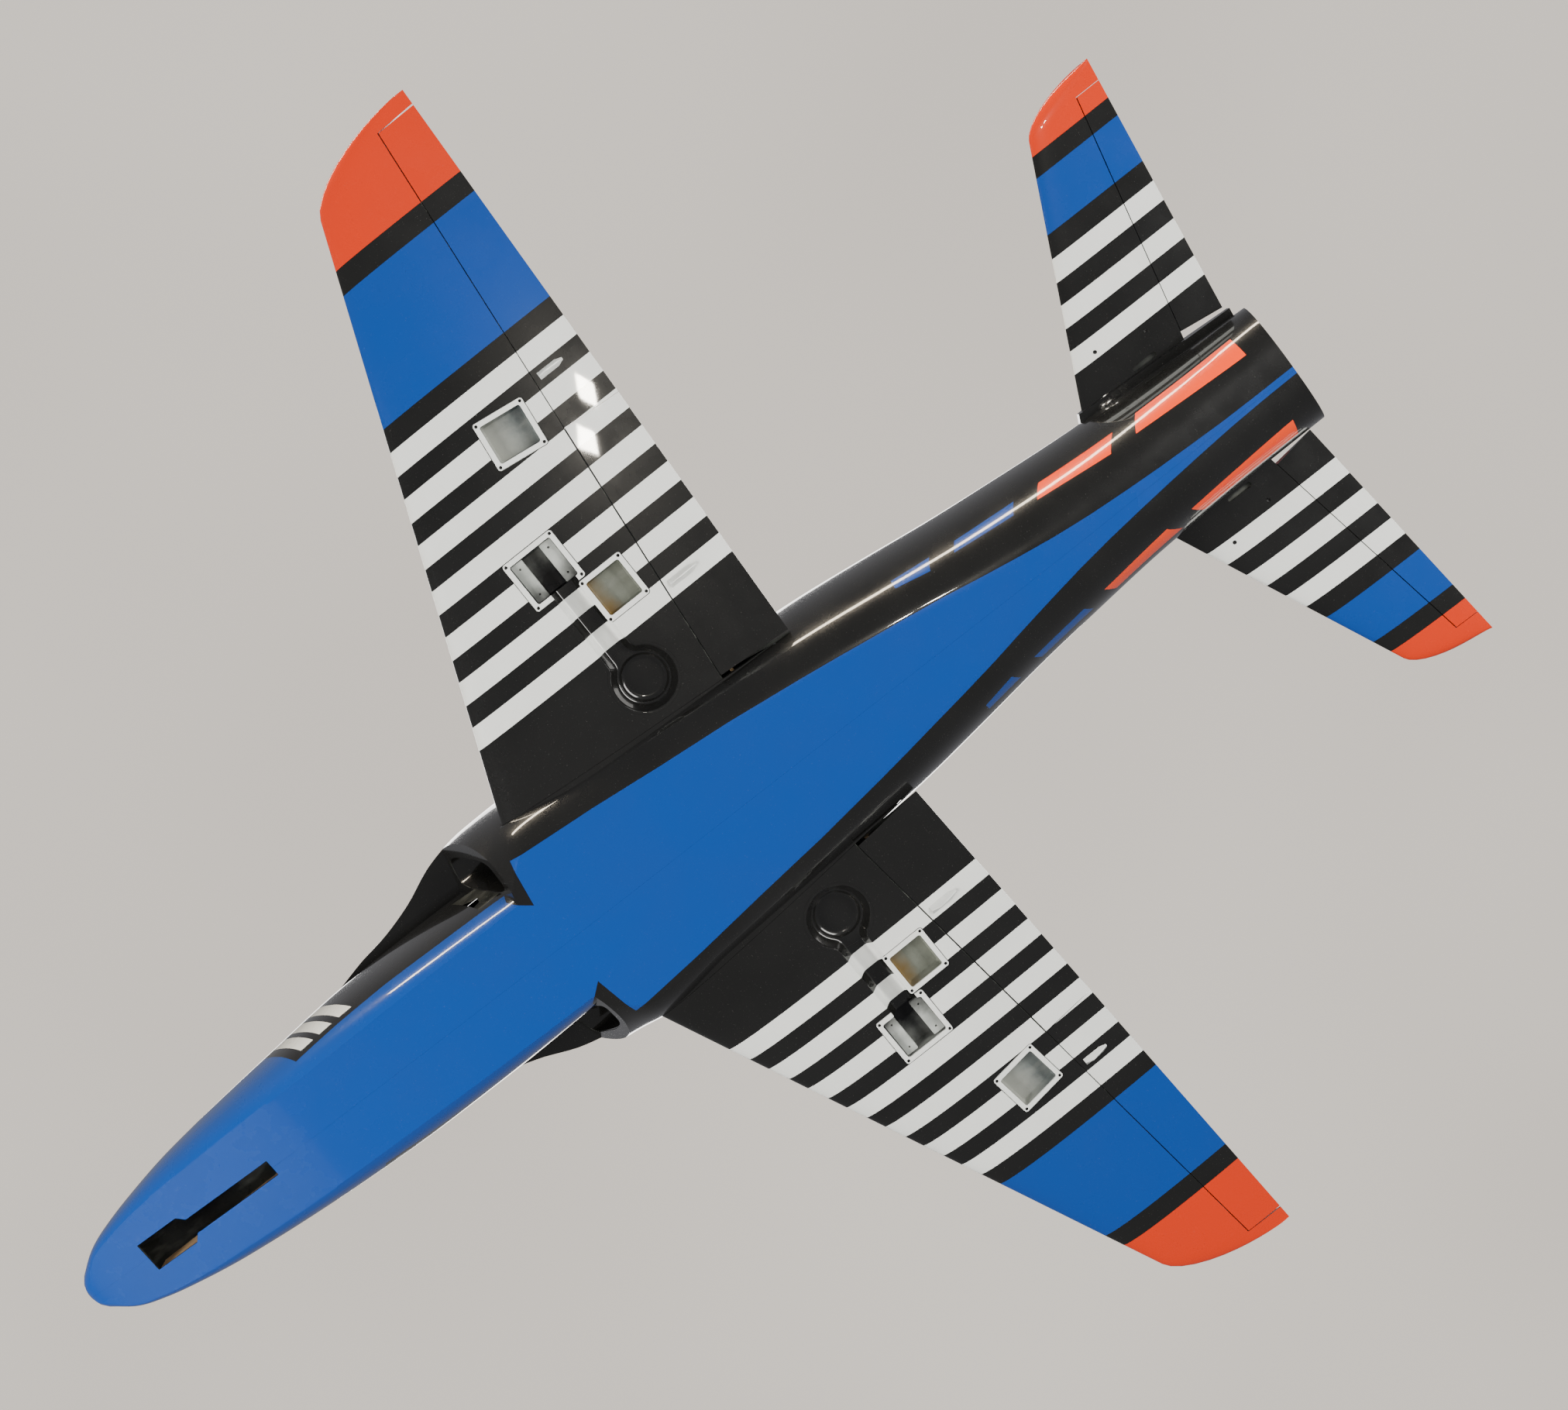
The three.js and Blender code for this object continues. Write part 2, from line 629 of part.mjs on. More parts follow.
function wellCut() {
  const { s, y, radius, floor, depth } = WHEEL_WELL;
  const cone = new THREE.CylinderGeometry(floor + GAP, radius + GAP, depth + GAP, 16);
  cone.rotateX(Math.PI / 2).translate(0, 0, (depth + GAP) / 2);
  const mouth = new THREE.CylinderGeometry(radius + GAP, radius + GAP, 8, 16);
  mouth.rotateX(Math.PI / 2).translate(0, 0, -3.5);
  const seat = skinSeat(s, y);
  return solidOf(cone.applyMatrix4(seat)).add(solidOf(mouth.applyMatrix4(seat)));
}

// The trough that the leg folds into, from inside the retract bay to the wheel well.
function troughCut(grow = 0) {
  const { from, to, width, depth } = TROUGH;
  const middle = (from + to) / 2;
  const y = (RETRACT_BAY.y + WHEEL_WELL.y) / 2;
  const shape = roundedShape(to - from, width - 2 * grow, 3);
  return extruded(shape, -5, depth, skinSeat(middle, y));
}

// A wedge over a control horn: its ridge starts at the hinge and runs aft, low end last.
function hornFairing({ s, length, width, height }) {
  const seat = skinSeat(s, WING_HINGE(s) + 6);
  const stations = [
    [0, 1, 0.25],
    [0.3, 1, 1],
    [0.75, 1, 0.5],
    [1, 0.35, 0.1],
  ];
  const rings = stations.map(([t, wide, tall]) => {
    const half = (width / 2) * wide;
    const drop = height * tall;
    const lift = 0.4 + length * t * 0.03;
    return [
      new THREE.Vector3(-half, t * length, -lift),
      new THREE.Vector3(half, t * length, -lift),
      new THREE.Vector3(half * 0.3, t * length, -lift - drop),
      new THREE.Vector3(-half * 0.3, t * length, -lift - drop),
    ].map((p) => p.applyMatrix4(seat));
  });
  return loft(rings);
}

function wingParts() {
  const full = panelLoft(WING).subtract(inboard(WING_ROOT, GAP));
  const tube = spanwise(WING_TUBE, 0, WING_TUBE.reach + 1, GAP);
  const pin = spanwise(WING_PIN, 90, WING_PIN.to + 1, GAP);
  const pockets = union([
    ...[AILERON_BAY, FLAP_BAY, RETRACT_BAY].map(bayPocket),
    wellCut(),
    troughCut(),
    tube,
    pin,
  ]);
  const aileron = hingedSurface(WING, full, WING_HINGE, AILERON);
  const flap = hingedSurface(WING, aileron.rest, WING_HINGE, FLAP);
  return { wing: flap.rest.subtract(pockets), aileron, flap };
}

// Tail ------------------------------------------------------------------------------------------

function stabPoint(s, y, side = 0) {
  const { lead, chord } = chordLine(STAB, s);
  return panelPoint(STAB, s, (y - lead) / chord, side);
}

function stabTube({ y, radius, reach }, grow = 0) {
  const from = stabPoint(STAB.inner + 5 - grow, y).toArray();
  return rod(from, stabPoint(reach + grow, y).toArray(), radius + grow, 8);
}

function stabTubeHoles() {
  const holes = STAB_TUBES.map((tube) => stabTube(tube, GAP));
  return [...holes, ...holes.map(mirrored)];
}

function stabParts() {
  const { s, y, width, length, depth } = STAB_SLOT;
  const slot = roundedShape(width, length, width / 2 - 0.01);
  const low = stabPoint(s, y, -1);
  const cutSlot = extruded(slot, low.z - 5, low.z + depth, new THREE.Matrix4().setPosition(s, y, 0));
  const full = panelLoft(STAB).subtract(inboard(STAB_ROOT, GAP));
  const elevator = hingedSurface(STAB, full, STAB_HINGE, ELEVATOR);
  const stab = elevator.rest.subtract(union([cutSlot, ...stabTubeHoles()]));
  return { stab, elevator };
}

// A half-round column along the rudder's hinge, in the fin's own axes.
function rudderNose([from, to], grow) {
  const steps = 8;
  return loft(
    [from, to].map((s) => {
      const { lead, chord } = chordLine(FIN, s);
      const radius = halfThickness((FIN_HINGE(s) - lead) / chord, FIN.ratio(s), chord) + grow;
      return Array.from({ length: steps + 1 }, (_, k) => {
        const angle = (Math.PI * k) / steps;
        const y = FIN_HINGE(s) - radius * Math.sin(angle);
        return new THREE.Vector3(s, y, radius * Math.cos(angle));
      });
    }),
  );
}

function finParts() {
  const upright = (solid) => solidOf(geometryOf(solid).rotateY(-Math.PI / 2));
  const { inner, outer: top, endGap } = RUDDER;
  const outline = (low, high, face) => [
    [low, FIN_HINGE(low) + face],
    [high, FIN_HINGE(high) + face],
    [high, 1100],
    [low, 1100],
  ];
  const full = panelLoft(FIN);
  const cut = planBlock(outline(inner, top, -4), -30, 30);
  const body = planBlock(outline(inner + endGap, top - endGap, -0.01), -30, 30);
  const wire = (radius, past) => {
    const [from, to] = [inner - past, top + past].map((s) => [s, FIN_HINGE(s), 0]);
    return rod(from, to, radius, 8);
  };
  const channel = wire(WIRE.clearance, 7);
  const fin = full.subtract(cut).subtract(rudderNose([inner, top], 0.7)).subtract(channel);
  const nose = rudderNose([inner + endGap, top - endGap], -0.05);
  const rudder = full.intersect(body).add(nose).subtract(channel);
  return {
    fin: upright(fin).subtract(bodyForm(-GAP)),
    rudder: upright(rudder),
    wire: upright(wire(WIRE.radius, 6)),
  };
}

// Assembly --------------------------------------------------------------------------------------

const LOOKS = {
  gloss_black: { color: 0x2b2b29, roughness: 0.15, metalness: 0 },
  gloss_blue: { color: 0x0066b8, roughness: 0.15, metalness: 0 },
  gloss_orange: { color: 0xf05a14, roughness: 0.15, metalness: 0 },
  gloss_white: { color: 0xe2e4de, roughness: 0.2, metalness: 0 },
  bare_composite: { color: 0x85887f, roughness: 0.45, metalness: 0 },
  plywood: { color: 0xc09a66, roughness: 0.8, metalness: 0 },
  carbon: { color: 0x1c1d1f, roughness: 0.3, metalness: 0 },
  steel: { color: 0xb8babc, roughness: 0.3, metalness: 1 },
  aluminium: { color: 0xc6c8ca, roughness: 0.35, metalness: 1 },
};

const airframe = new THREE.Group();

function piece(name, solid, look) {
  const mesh = new THREE.Mesh(geometryOf(solid), new THREE.MeshStandardMaterial(LOOKS[look]));
  mesh.name = name;
  airframe.add(mesh);
}

function pair(name, solid, look) {
  piece(`${name}_left`, solid, look);
  piece(`${name}_right`, mirrored(solid), look);
}

function addFuselage() {
  const shells = shellParts();
  piece("fuselage_shell_left", shells.port, "gloss_black");
  piece("fuselage_shell_right", shells.starboard, "gloss_black");
  piece("canopy_hatch", shells.hatch, "gloss_blue");
  pair("intake_duct", ductForm(DUCT.wall).subtract(ductForm(0, 10)), "gloss_black");
  piece("exhaust_pipe", pipeForm(0).subtract(pipeForm(-PIPE.wall, 5)), "aluminium");
}

function addFormers() {
  const inside = interior(WALL + GAP);
  const underHatch = box([-200, -700, -100], [200, 130, 86]);
  const open = inside.intersect(underHatch);
  const ducts = [ductForm(DUCT.wall + 0.5), mirrored(ductForm(DUCT.wall + 0.5))];
  const pipe = pipeForm(0.5);
  const frames = [
    ["nose", -350, [44, 7.7, 120], open, []],
    ["cabin", -150, [44, 7.7, 120], open, []],
    ["wing_front", 150, [60, 118, 152], inside, ducts],
    ["wing_rear", 345, [45, -5, 130], inside, []],
    ["engine", 560, [45, 15, 120], inside, []],
    ["fin", 730, [20, 135, 160], inside, [pipe]],
    ["tail", 880, [12, 128, 145], inside, [pipe]],
  ];
  for (const [name, y, window, room, cutters] of frames) {
    piece(`former_${name}`, former(y, window, room, cutters), "plywood");
  }
  piece("equipment_tray", box([-31, -330, 8], [31, 149, 8 + PLY]).intersect(inside), "plywood");
  const plate = box([20.5, -552, -60], [20.5 + PLY, -356, 50]).intersect(inside);
  pair("nose_gear_plate", plate, "plywood");
  pair("engine_rail", box([50, 345 + PLY + GAP, 60], [62, 560 - GAP, 72]), "plywood");
}

function addWings() {
  const { wing, aileron, flap } = wingParts();
  const tube = (past, grow) => spanwise(WING_TUBE, -WING_TUBE.reach - past, WING_TUBE.reach + past, grow);
  piece("wing_tube", tube(0, 0).subtract(tube(1, -WING_TUBE.wall)), "carbon");
  pair("wing_pin", spanwise(WING_PIN, WING_PIN.from, WING_PIN.to), "carbon");
  pair("wing", wing, "gloss_black");
  pair("aileron", aileron.surface, "gloss_white");
  pair("aileron_wire", aileron.wire, "steel");
  pair("flap", flap.surface, "gloss_white");
  pair("flap_wire", flap.wire, "steel");
  pair("aileron_bay_frame", bayFrame(AILERON_BAY), "gloss_white");
  pair("flap_bay_frame", bayFrame(FLAP_BAY), "gloss_white");
  pair("retract_frame", bayFrame(RETRACT_BAY).subtract(troughCut(-GAP)), "gloss_white");
  pair("retract_rail_front", retractRail(-1), "bare_composite");
  pair("retract_rail_rear", retractRail(1), "bare_composite");
  pair("wheel_well_cup", wellCup(), "gloss_black");
  pair("aileron_horn_fairing", hornFairing(AILERON_HORN), "gloss_white");
  pair("flap_horn_fairing", hornFairing(FLAP_HORN), "gloss_white");
}

function addTail() {
  const { stab, elevator } = stabParts();
  const { fin, rudder, wire } = finParts();
  pair("stabiliser", stab, "gloss_black");
  pair("elevator", elevator.surface, "gloss_white");
  pair("elevator_wire", elevator.wire, "steel");
  for (const tube of STAB_TUBES) pair(`stabiliser_tube_${tube.name}`, stabTube(tube), "carbon");
  piece("fin", fin, "gloss_black");
  piece("rudder", rudder, "gloss_orange");
  piece("rudder_wire", wire, "steel");
}

addFuselage();
addFormers();
addWings();
addTail();
airframe.position.set(0, -(NOSE_TIP + TAIL_TIP) / 2, -BELLY);

export default airframe;
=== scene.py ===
from functools import reduce
import json
import math

import bmesh
import bpy
import numpy as np
from mathutils import Matrix, Vector


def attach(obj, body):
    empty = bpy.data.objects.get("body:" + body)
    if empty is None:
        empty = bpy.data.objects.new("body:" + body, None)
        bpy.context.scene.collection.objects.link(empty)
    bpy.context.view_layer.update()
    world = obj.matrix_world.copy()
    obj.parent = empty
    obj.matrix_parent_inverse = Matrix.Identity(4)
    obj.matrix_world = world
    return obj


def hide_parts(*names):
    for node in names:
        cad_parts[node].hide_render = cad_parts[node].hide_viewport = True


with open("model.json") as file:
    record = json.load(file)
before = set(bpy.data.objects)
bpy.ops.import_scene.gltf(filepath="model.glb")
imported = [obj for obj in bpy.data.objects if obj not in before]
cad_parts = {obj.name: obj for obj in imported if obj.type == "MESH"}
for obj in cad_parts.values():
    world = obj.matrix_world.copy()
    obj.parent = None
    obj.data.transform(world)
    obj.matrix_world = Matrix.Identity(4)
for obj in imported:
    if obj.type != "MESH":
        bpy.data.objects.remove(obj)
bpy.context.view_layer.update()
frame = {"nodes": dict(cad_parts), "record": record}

# The airframe's design datum is on the centreline where the leading edges would meet. Outlines
# below are in millimetres from it: x to port, y aft, z up. SHIFT moves them to the CAD frame.
MM = 0.001
SHIFT = np.array([0.0, -191.05, 35.7])

# Driving dimensions ------------------------------------------

WALL = 3.0
GAP = 0.3
BELLY = -35.7
HINGE_DEPTH = 1.5
SHARP_ANGLE = 32

# Fuselage stations: distance aft, half width, height of the widest point, belly height,
# half width of the flat belly, top height.
FOREBODY = [
    [-640, 7, 49, 43, 3, 55], [-633, 19, 49, 34, 9, 64], [-621, 29, 49.5, 29, 17, 71],
    [-600, 42, 50.5, 24, 33, 78], [-567, 53, 52, 18, 43, 90], [-525, 62.5, 57, 11, 50, 104],
    [-483, 70, 59, 4, 53, 115], [-441, 75, 61, -3, 54.5, 124], [-399, 79, 64, -10, 56, 131],
    [-315, 85.5, 71, -21, 58, 143], [-231, 91, 82, -26, 59.5, 151], [-147, 92, 90, -30, 61, 158],
    [-63, 91, 95, -33, 62, 165], [63, 86, 95, -35.2, 63, 172],
]
REAR_BODY = [
    [-226, 89, 105, -26, 59, 151], [-189, 97, 109, -28, 60, 155], [-147, 103.5, 114, -30, 61, 159],
    [-105, 115.5, 115, -31, 62, 163], [-63, 133, 115, -32.4, 64, 166], [-21, 143, 106, -33.2, 66, 168],
    [21, 146, 95, -34.2, 71, 170], [63, 147, 84, -35.6, 102, 172], [158, 141, 80, BELLY, 92, 178],
    [252, 134, 80, BELLY, 82, 184], [336, 127, 82, BELLY, 71, 187], [441, 118.5, 88, BELLY, 57, 189],
    [525, 108, 88, BELLY, 42, 188], [609, 96.5, 86, BELLY, 27, 185], [693, 87.5, 84, -34.2, 17, 181],
    [777, 80, 81, -29, 11, 174], [882, 75, 73, -19, 8, 160], [960, 72.5, 64, -11.5, 7, 141],
    [1030, 70.5, 57, -7.5, 6, 124],
]
# More stations where the nose is bluntest, then where even spacing takes over.
NOSE_TIP = [-640, -638.6, -636.5]
NOSE_EVEN = -635
# Canopy stations: distance aft, half width, top height.
CANOPY = [
    [-392, 14, 132], [-376, 30, 142], [-336, 46, 163], [-273, 56, 187], [-189, 60, 202],
    [-105, 58, 203], [-21, 50, 194], [42, 37, 183], [76, 22, 176],
]
CANOPY_BASE = 100.0
# The space inside the skin starts this far aft in the nose and under the canopy.
HOLLOW = {"nose": -605, "canopy": -380}
BODY_POWER = 2 / 2.2
CANOPY_POWER = 0.85
TAIL_CUT = {"y": 993, "rake": 0.18}
HATCH = {"half": 66, "front": -404, "front_taper": 190, "rear_taper": 150, "rear": 92}
CREASE = {"lift": 0.1, "start": 63, "end": 525}

MOUTH = {"y": -12.1, "across": 0.279, "down": -0.549, "shelf": 114.7, "lip": 3.0}
MOUTH_CORNERS = [(131, 108), (116, 2), (76, -26), (95, 101)]
DUCT = {"end": 232, "x": 64, "z": 66, "radius": 29, "wall": 1.5}
NOSE_WELL = {"front": -547, "step": -490, "rear": -364, "wide": 17.9, "narrow": 9.9}
PIPE = {"start": 615, "end": 992, "front": 50, "rear": 57, "wall": 1.2, "z_front": 66, "z_rear": 59}


class Panel:
    """A tapered lifting surface: its edges, height, thickness ratio and hinge line along the span.

    The span s runs outboard, and u runs from 0 at the leading edge to 1 at the trailing edge.
    """

    def __init__(self, lead, trail, height, ratio, inner, rake_start, tip, hinge, root=None):
        self.lead, self.trail, self.height, self.ratio = lead, trail, height, ratio
        self.inner, self.rake_start, self.tip = inner, rake_start, tip
        self.hinge, self.root = hinge, root

    def chord_line(self, s):
        rake = min(max((s - self.rake_start) / (self.tip - self.rake_start), 0), 1)
        chord = (self.trail(s) - self.lead(s)) * math.sqrt(1 - rake**2)
        return self.trail(s) - chord, chord

    def half_thickness(self, s, u):
        chord = self.chord_line(s)[1]
        curve = 0.2969 * math.sqrt(u) - 0.126 * u - 0.3516 * u**2 + 0.2843 * u**3 - 0.1036 * u**4
        return 5 * self.ratio(s) * curve * chord + 0.6 * u

    def point(self, s, u, side, grow=0.0):
        lead, chord = self.chord_line(s)
        half = self.half_thickness(s, u) + grow
        return (s, lead + u * chord + grow * (2 * u - 1), self.height(s, u) + side * half)

    def skin(self, s, y, side):
        lead, chord = self.chord_line(s)
        return self.point(s, (y - lead) / chord, side)[2]


WING = Panel(
    lead=lambda s: 0.4233 * s, trail=lambda s: 414.8 + 0.0473 * s,
    height=lambda s, u: 0.0395 * s + 1.8 * u, ratio=lambda s: 0.106 - 0.000015 * s,
    inner=60, rake_start=722.4, tip=770.7, hinge=lambda s: 323.4 + 0.109 * s,
    root={"x": 134, "y": 56, "slope": -0.0771},
)
STAB = Panel(
    lead=lambda s: 770.9 + 0.4532 * s, trail=lambda s: 985.3 + 0.0979 * s,
    height=lambda s, u: 108.9 - 9 * u - 0.0914 * s, ratio=lambda s: 0.09,
    inner=45, rake_start=346.5, tip=375.9, hinge=lambda s: 926.3 + 0.185 * s,
    root={"x": 86, "y": 810, "slope": -0.045},
)
FIN = Panel(
    lead=lambda s: 600 + 0.78 * s, trail=lambda s: 950 + 0.15 * s,
    height=lambda s, u: 0.0, ratio=lambda s: 0.08,
    inner=110, rake_start=405, tip=430, hinge=lambda s: 850 + 0.3 * s,
)
AILERON = {"inner": 412.6, "inner_trail": 406.4, "outer": 752.4, "outer_trail": 755,
           "swing": 1.4, "down": 25, "up": 25}
FLAP = {"notch": 90, "inner": 116, "inner_trail": 108, "outer": 413, "outer_trail": 406.8,
        "swing": 0, "down": 50, "up": 0}
ELEVATOR = {"notch": 60, "inner": 89, "inner_trail": 78.4, "outer": 351.8, "outer_trail": 351.8,
            "swing": 0, "down": 25, "up": 25}
RUDDER = {"inner": 182, "outer": 400, "gap": 1.6}
END_GAP = 0.6
# A surface's round nose and the cove it turns in: where both start, in degrees from upright, how
# far each goes past the swing, the space between them, and the room at the cove's lower lip.
ROUND = {"start": -6, "nose_past": 2, "cove_past": 5, "gap": 0.4, "shy": 0.02, "lip": 0.6}
STAB_SLOT = {"s": 88, "y": 893, "width": 6, "length": 31, "depth": 5}
STAB_SCREWS = [(129.2, 856.6), (114.2, 912.2)]

# Bays in the wing's lower skin: centre, size across the span and along the chord, depth, lean.
AILERON_BAY = {"s": 442, "y": 321.5, "span": 54, "chord": 58, "depth": 12, "slope": 0.13}
FLAP_BAY = {"s": 256, "y": 307, "span": 53, "chord": 53, "depth": 15, "slope": 0}
RETRACT_BAY = {"s": 313.7, "y": 261.3, "span": 59, "chord": 63, "depth": 20, "slope": 0}
FRAME = {"rim": 5.5, "thick": 1.8, "proud": 0.6, "corner": 3, "screw": 3.2}
WHEEL_WELL = {"s": 164, "y": 273, "radius": 33.5, "floor": 27, "depth": 18}
TROUGH = {"end": 292, "width": 31, "floor": 21, "offset": -5.8}
AILERON_HORN = {"s": 469, "length": 30, "width": 8, "height": 9}
FLAP_HORN = {"s": 223, "length": 34, "width": 9, "height": 10}

# Paint stations along the span, or up the fin.
WING_PAINT = {"orange": 674.7, "blue": (524.8, 651.4), "first": 502.1, "pitch": 44.92,
              "stripe": 23.3, "last": 209.5}
STAB_PAINT = {"orange": 331.3, "blue": (257.8, 311.0), "first": 234.7, "pitch": 44.7,
              "stripe": 22.8, "last": 122.0}
FIN_PAINT = {"orange": 388.0, "blue": (322.0, 372.0), "first": 310.0, "pitch": 36.0,
             "stripe": 18.0, "last": 220.0}
GLASS = {"front": -356.0, "rear": 30.0, "sill": 172.0, "rise": 0.06, "line": 3.0}

BLUE = (0.0, 0.048, 0.27, 1)
BLACK = (0.006, 0.006, 0.0055, 1)
WHITE = (0.80, 0.82, 0.79, 1)
ORANGE = (0.62, 0.028, 0.0, 1)
BRIGHT_ORANGE = (1.0, 0.062, 0.0, 1)
SMOKE = (0.016, 0.02, 0.026, 1)

# Meshes ------------------------------------------------------


def hermite(table, y):
    """The table's other columns at a place, through smooth curves."""
    rows = np.array(table, float)
    at = rows[:, 0]
    i = int(np.clip(np.searchsorted(at, y) - 1, 0, len(at) - 2))
    slopes = np.diff(rows[:, 1:], axis=0) / np.diff(at)[:, None]
    tangents = np.vstack([slopes[:1], (slopes[:-1] + slopes[1:]) / 2, slopes[-1:]])
    h = at[i + 1] - at[i]
    t = (y - at[i]) / h
    a = (2 * t**3 - 3 * t**2 + 1) * rows[i, 1:] + (t**3 - 2 * t**2 + t) * h * tangents[i]
    b = (3 * t**2 - 2 * t**3) * rows[i + 1, 1:] + (t**3 - t**2) * h * tangents[i + 1]
    return a + b


def new_object(points, faces):
    """A mesh object from points in design millimetres, with its faces turned outwards."""
    mesh = bpy.data.meshes.new("body")
    placed = (np.array(points, float) + SHIFT) * MM
    mesh.from_pydata(placed.tolist(), [], faces)
    shape = bmesh.new()
    shape.from_mesh(mesh)
    bmesh.ops.remove_doubles(shape, verts=shape.verts, dist=1e-7)
    bmesh.ops.recalc_face_normals(shape, faces=shape.faces)
    shape.to_mesh(mesh)
    shape.free()
    made = bpy.data.objects.new("body", mesh)
    bpy.context.scene.collection.objects.link(made)
    return made


def loft(rings):
    """A closed body through rings of the same number of points."""
    count = len(rings[0])
    last = (len(rings) - 1) * count
    faces = [list(range(count)), [last + k for k in range(count)]]
    for start in range(0, last, count):
        for k in range(count):
            a, b = start + k, start + (k + 1) % count
            faces.append([a, b, b + count, a + count])
    return new_object([p for ring in rings for p in ring], faces)


def plan_block(outline, low, high):
    """An upright block on a plan outline."""
    return loft([[(x, y, z) for x, y in outline] for z in (low, high)])


def box(low, high):
    (x0, y0, z0), (x1, y1, z1) = low, high
    return plan_block([(x0, y0), (x1, y0), (x1, y1), (x0, y1)], z0, z1)


def round_rectangle(width, length, radius, steps=5):
    points = []
    for quarter, (sx, sy) in enumerate([(1, 1), (-1, 1), (-1, -1), (1, -1)]):
        for k in range(steps + 1):
            angle = math.pi / 2 * (quarter + k / steps)
            points.append((sx * (width / 2 - radius) + radius * math.cos(angle),
                           sy * (length / 2 - radius) + radius * math.sin(angle)))
    return points


def seated(seat, outlines):
    """A body through plane outlines, each a list of (x, y) with its height, on a seat."""
    return loft([[tuple(seat @ Vector((x, y, z))) for x, y in outline] for outline, z in outlines])


def circle(radius, sides):
    return [(radius * math.cos(2 * math.pi * k / sides), radius * math.sin(2 * math.pi * k / sides))
            for k in range(sides)]


def turned(seats, profile, sides):
    """A body of revolution on each seat, from its (radius, height) profile, all as one mesh."""
    points, faces = [], []
    for seat in seats:
        base = len(points)
        for radius, z in profile:
            points += [tuple(seat @ Vector((x, y, z))) for x, y in circle(radius, sides)]
        last = base + (len(profile) - 1) * sides
        for start in range(base, last, sides):
            for k in range(sides):
                a, b = start + k, start + (k + 1) % sides
                faces.append([a, b, b + sides, a + sides])
        faces += [[base + k for k in range(sides)], [last + k for k in range(sides)]]
    return new_object(points, faces)


def combine(target, tools, operation="DIFFERENCE"):
    """Cuts with, joins or keeps the common part with each tool, and removes the tools."""
    for tool in tools:
        step = target.modifiers.new("step", "BOOLEAN")
        step.object, step.operation, step.solver = tool, operation, "MANIFOLD"
        step.material_mode = "TRANSFER"
    bpy.context.view_layer.update()
    graph = bpy.context.evaluated_depsgraph_get()
    made = bpy.data.meshes.new_from_object(target.evaluated_get(graph))
    old = target.data
    target.modifiers.clear()
    target.data = made
    bpy.data.meshes.remove(old)
    for tool in tools:
        bpy.data.meshes.remove(tool.data)
    return target


def coated(solid, look):
    """Gives a body its material. A cutting body passes its own on to the faces it makes."""
    solid.data.materials.clear()
    solid.data.materials.append(look)
    return solid


def copied(solid):
    twin = bpy.data.objects.new("copy", solid.data.copy())
    bpy.context.scene.collection.objects.link(twin)
    return twin


def mirrored(solid):
    """The same body on the other side of the centreline."""
    twin = copied(solid)
    twin.data.transform(Matrix.Diagonal((-1, 1, 1, 1)))
    twin.data.flip_normals()
    return twin


def both(solid):
    return [solid, mirrored(solid)]


def finish_mesh(piece):
    """Removes slivers, splits the shading at sharp edges and evens it out elsewhere."""
    shape = bmesh.new()
    shape.from_mesh(piece.data)
    bmesh.ops.remove_doubles(shape, verts=shape.verts, dist=2e-6)
    bmesh.ops.dissolve_degenerate(shape, dist=1e-6, edges=shape.edges)
    limit = math.radians(SHARP_ANGLE)
    for edge in shape.edges:
        edge.smooth = len(edge.link_faces) == 2 and edge.calc_face_angle(0) < limit
    for face in shape.faces:
        face.smooth = True
    shape.to_mesh(piece.data)
    shape.free()
    even = piece.modifiers.new("even_shading", "WEIGHTED_NORMAL")
    even.keep_sharp = True


# Materials ---------------------------------------------------


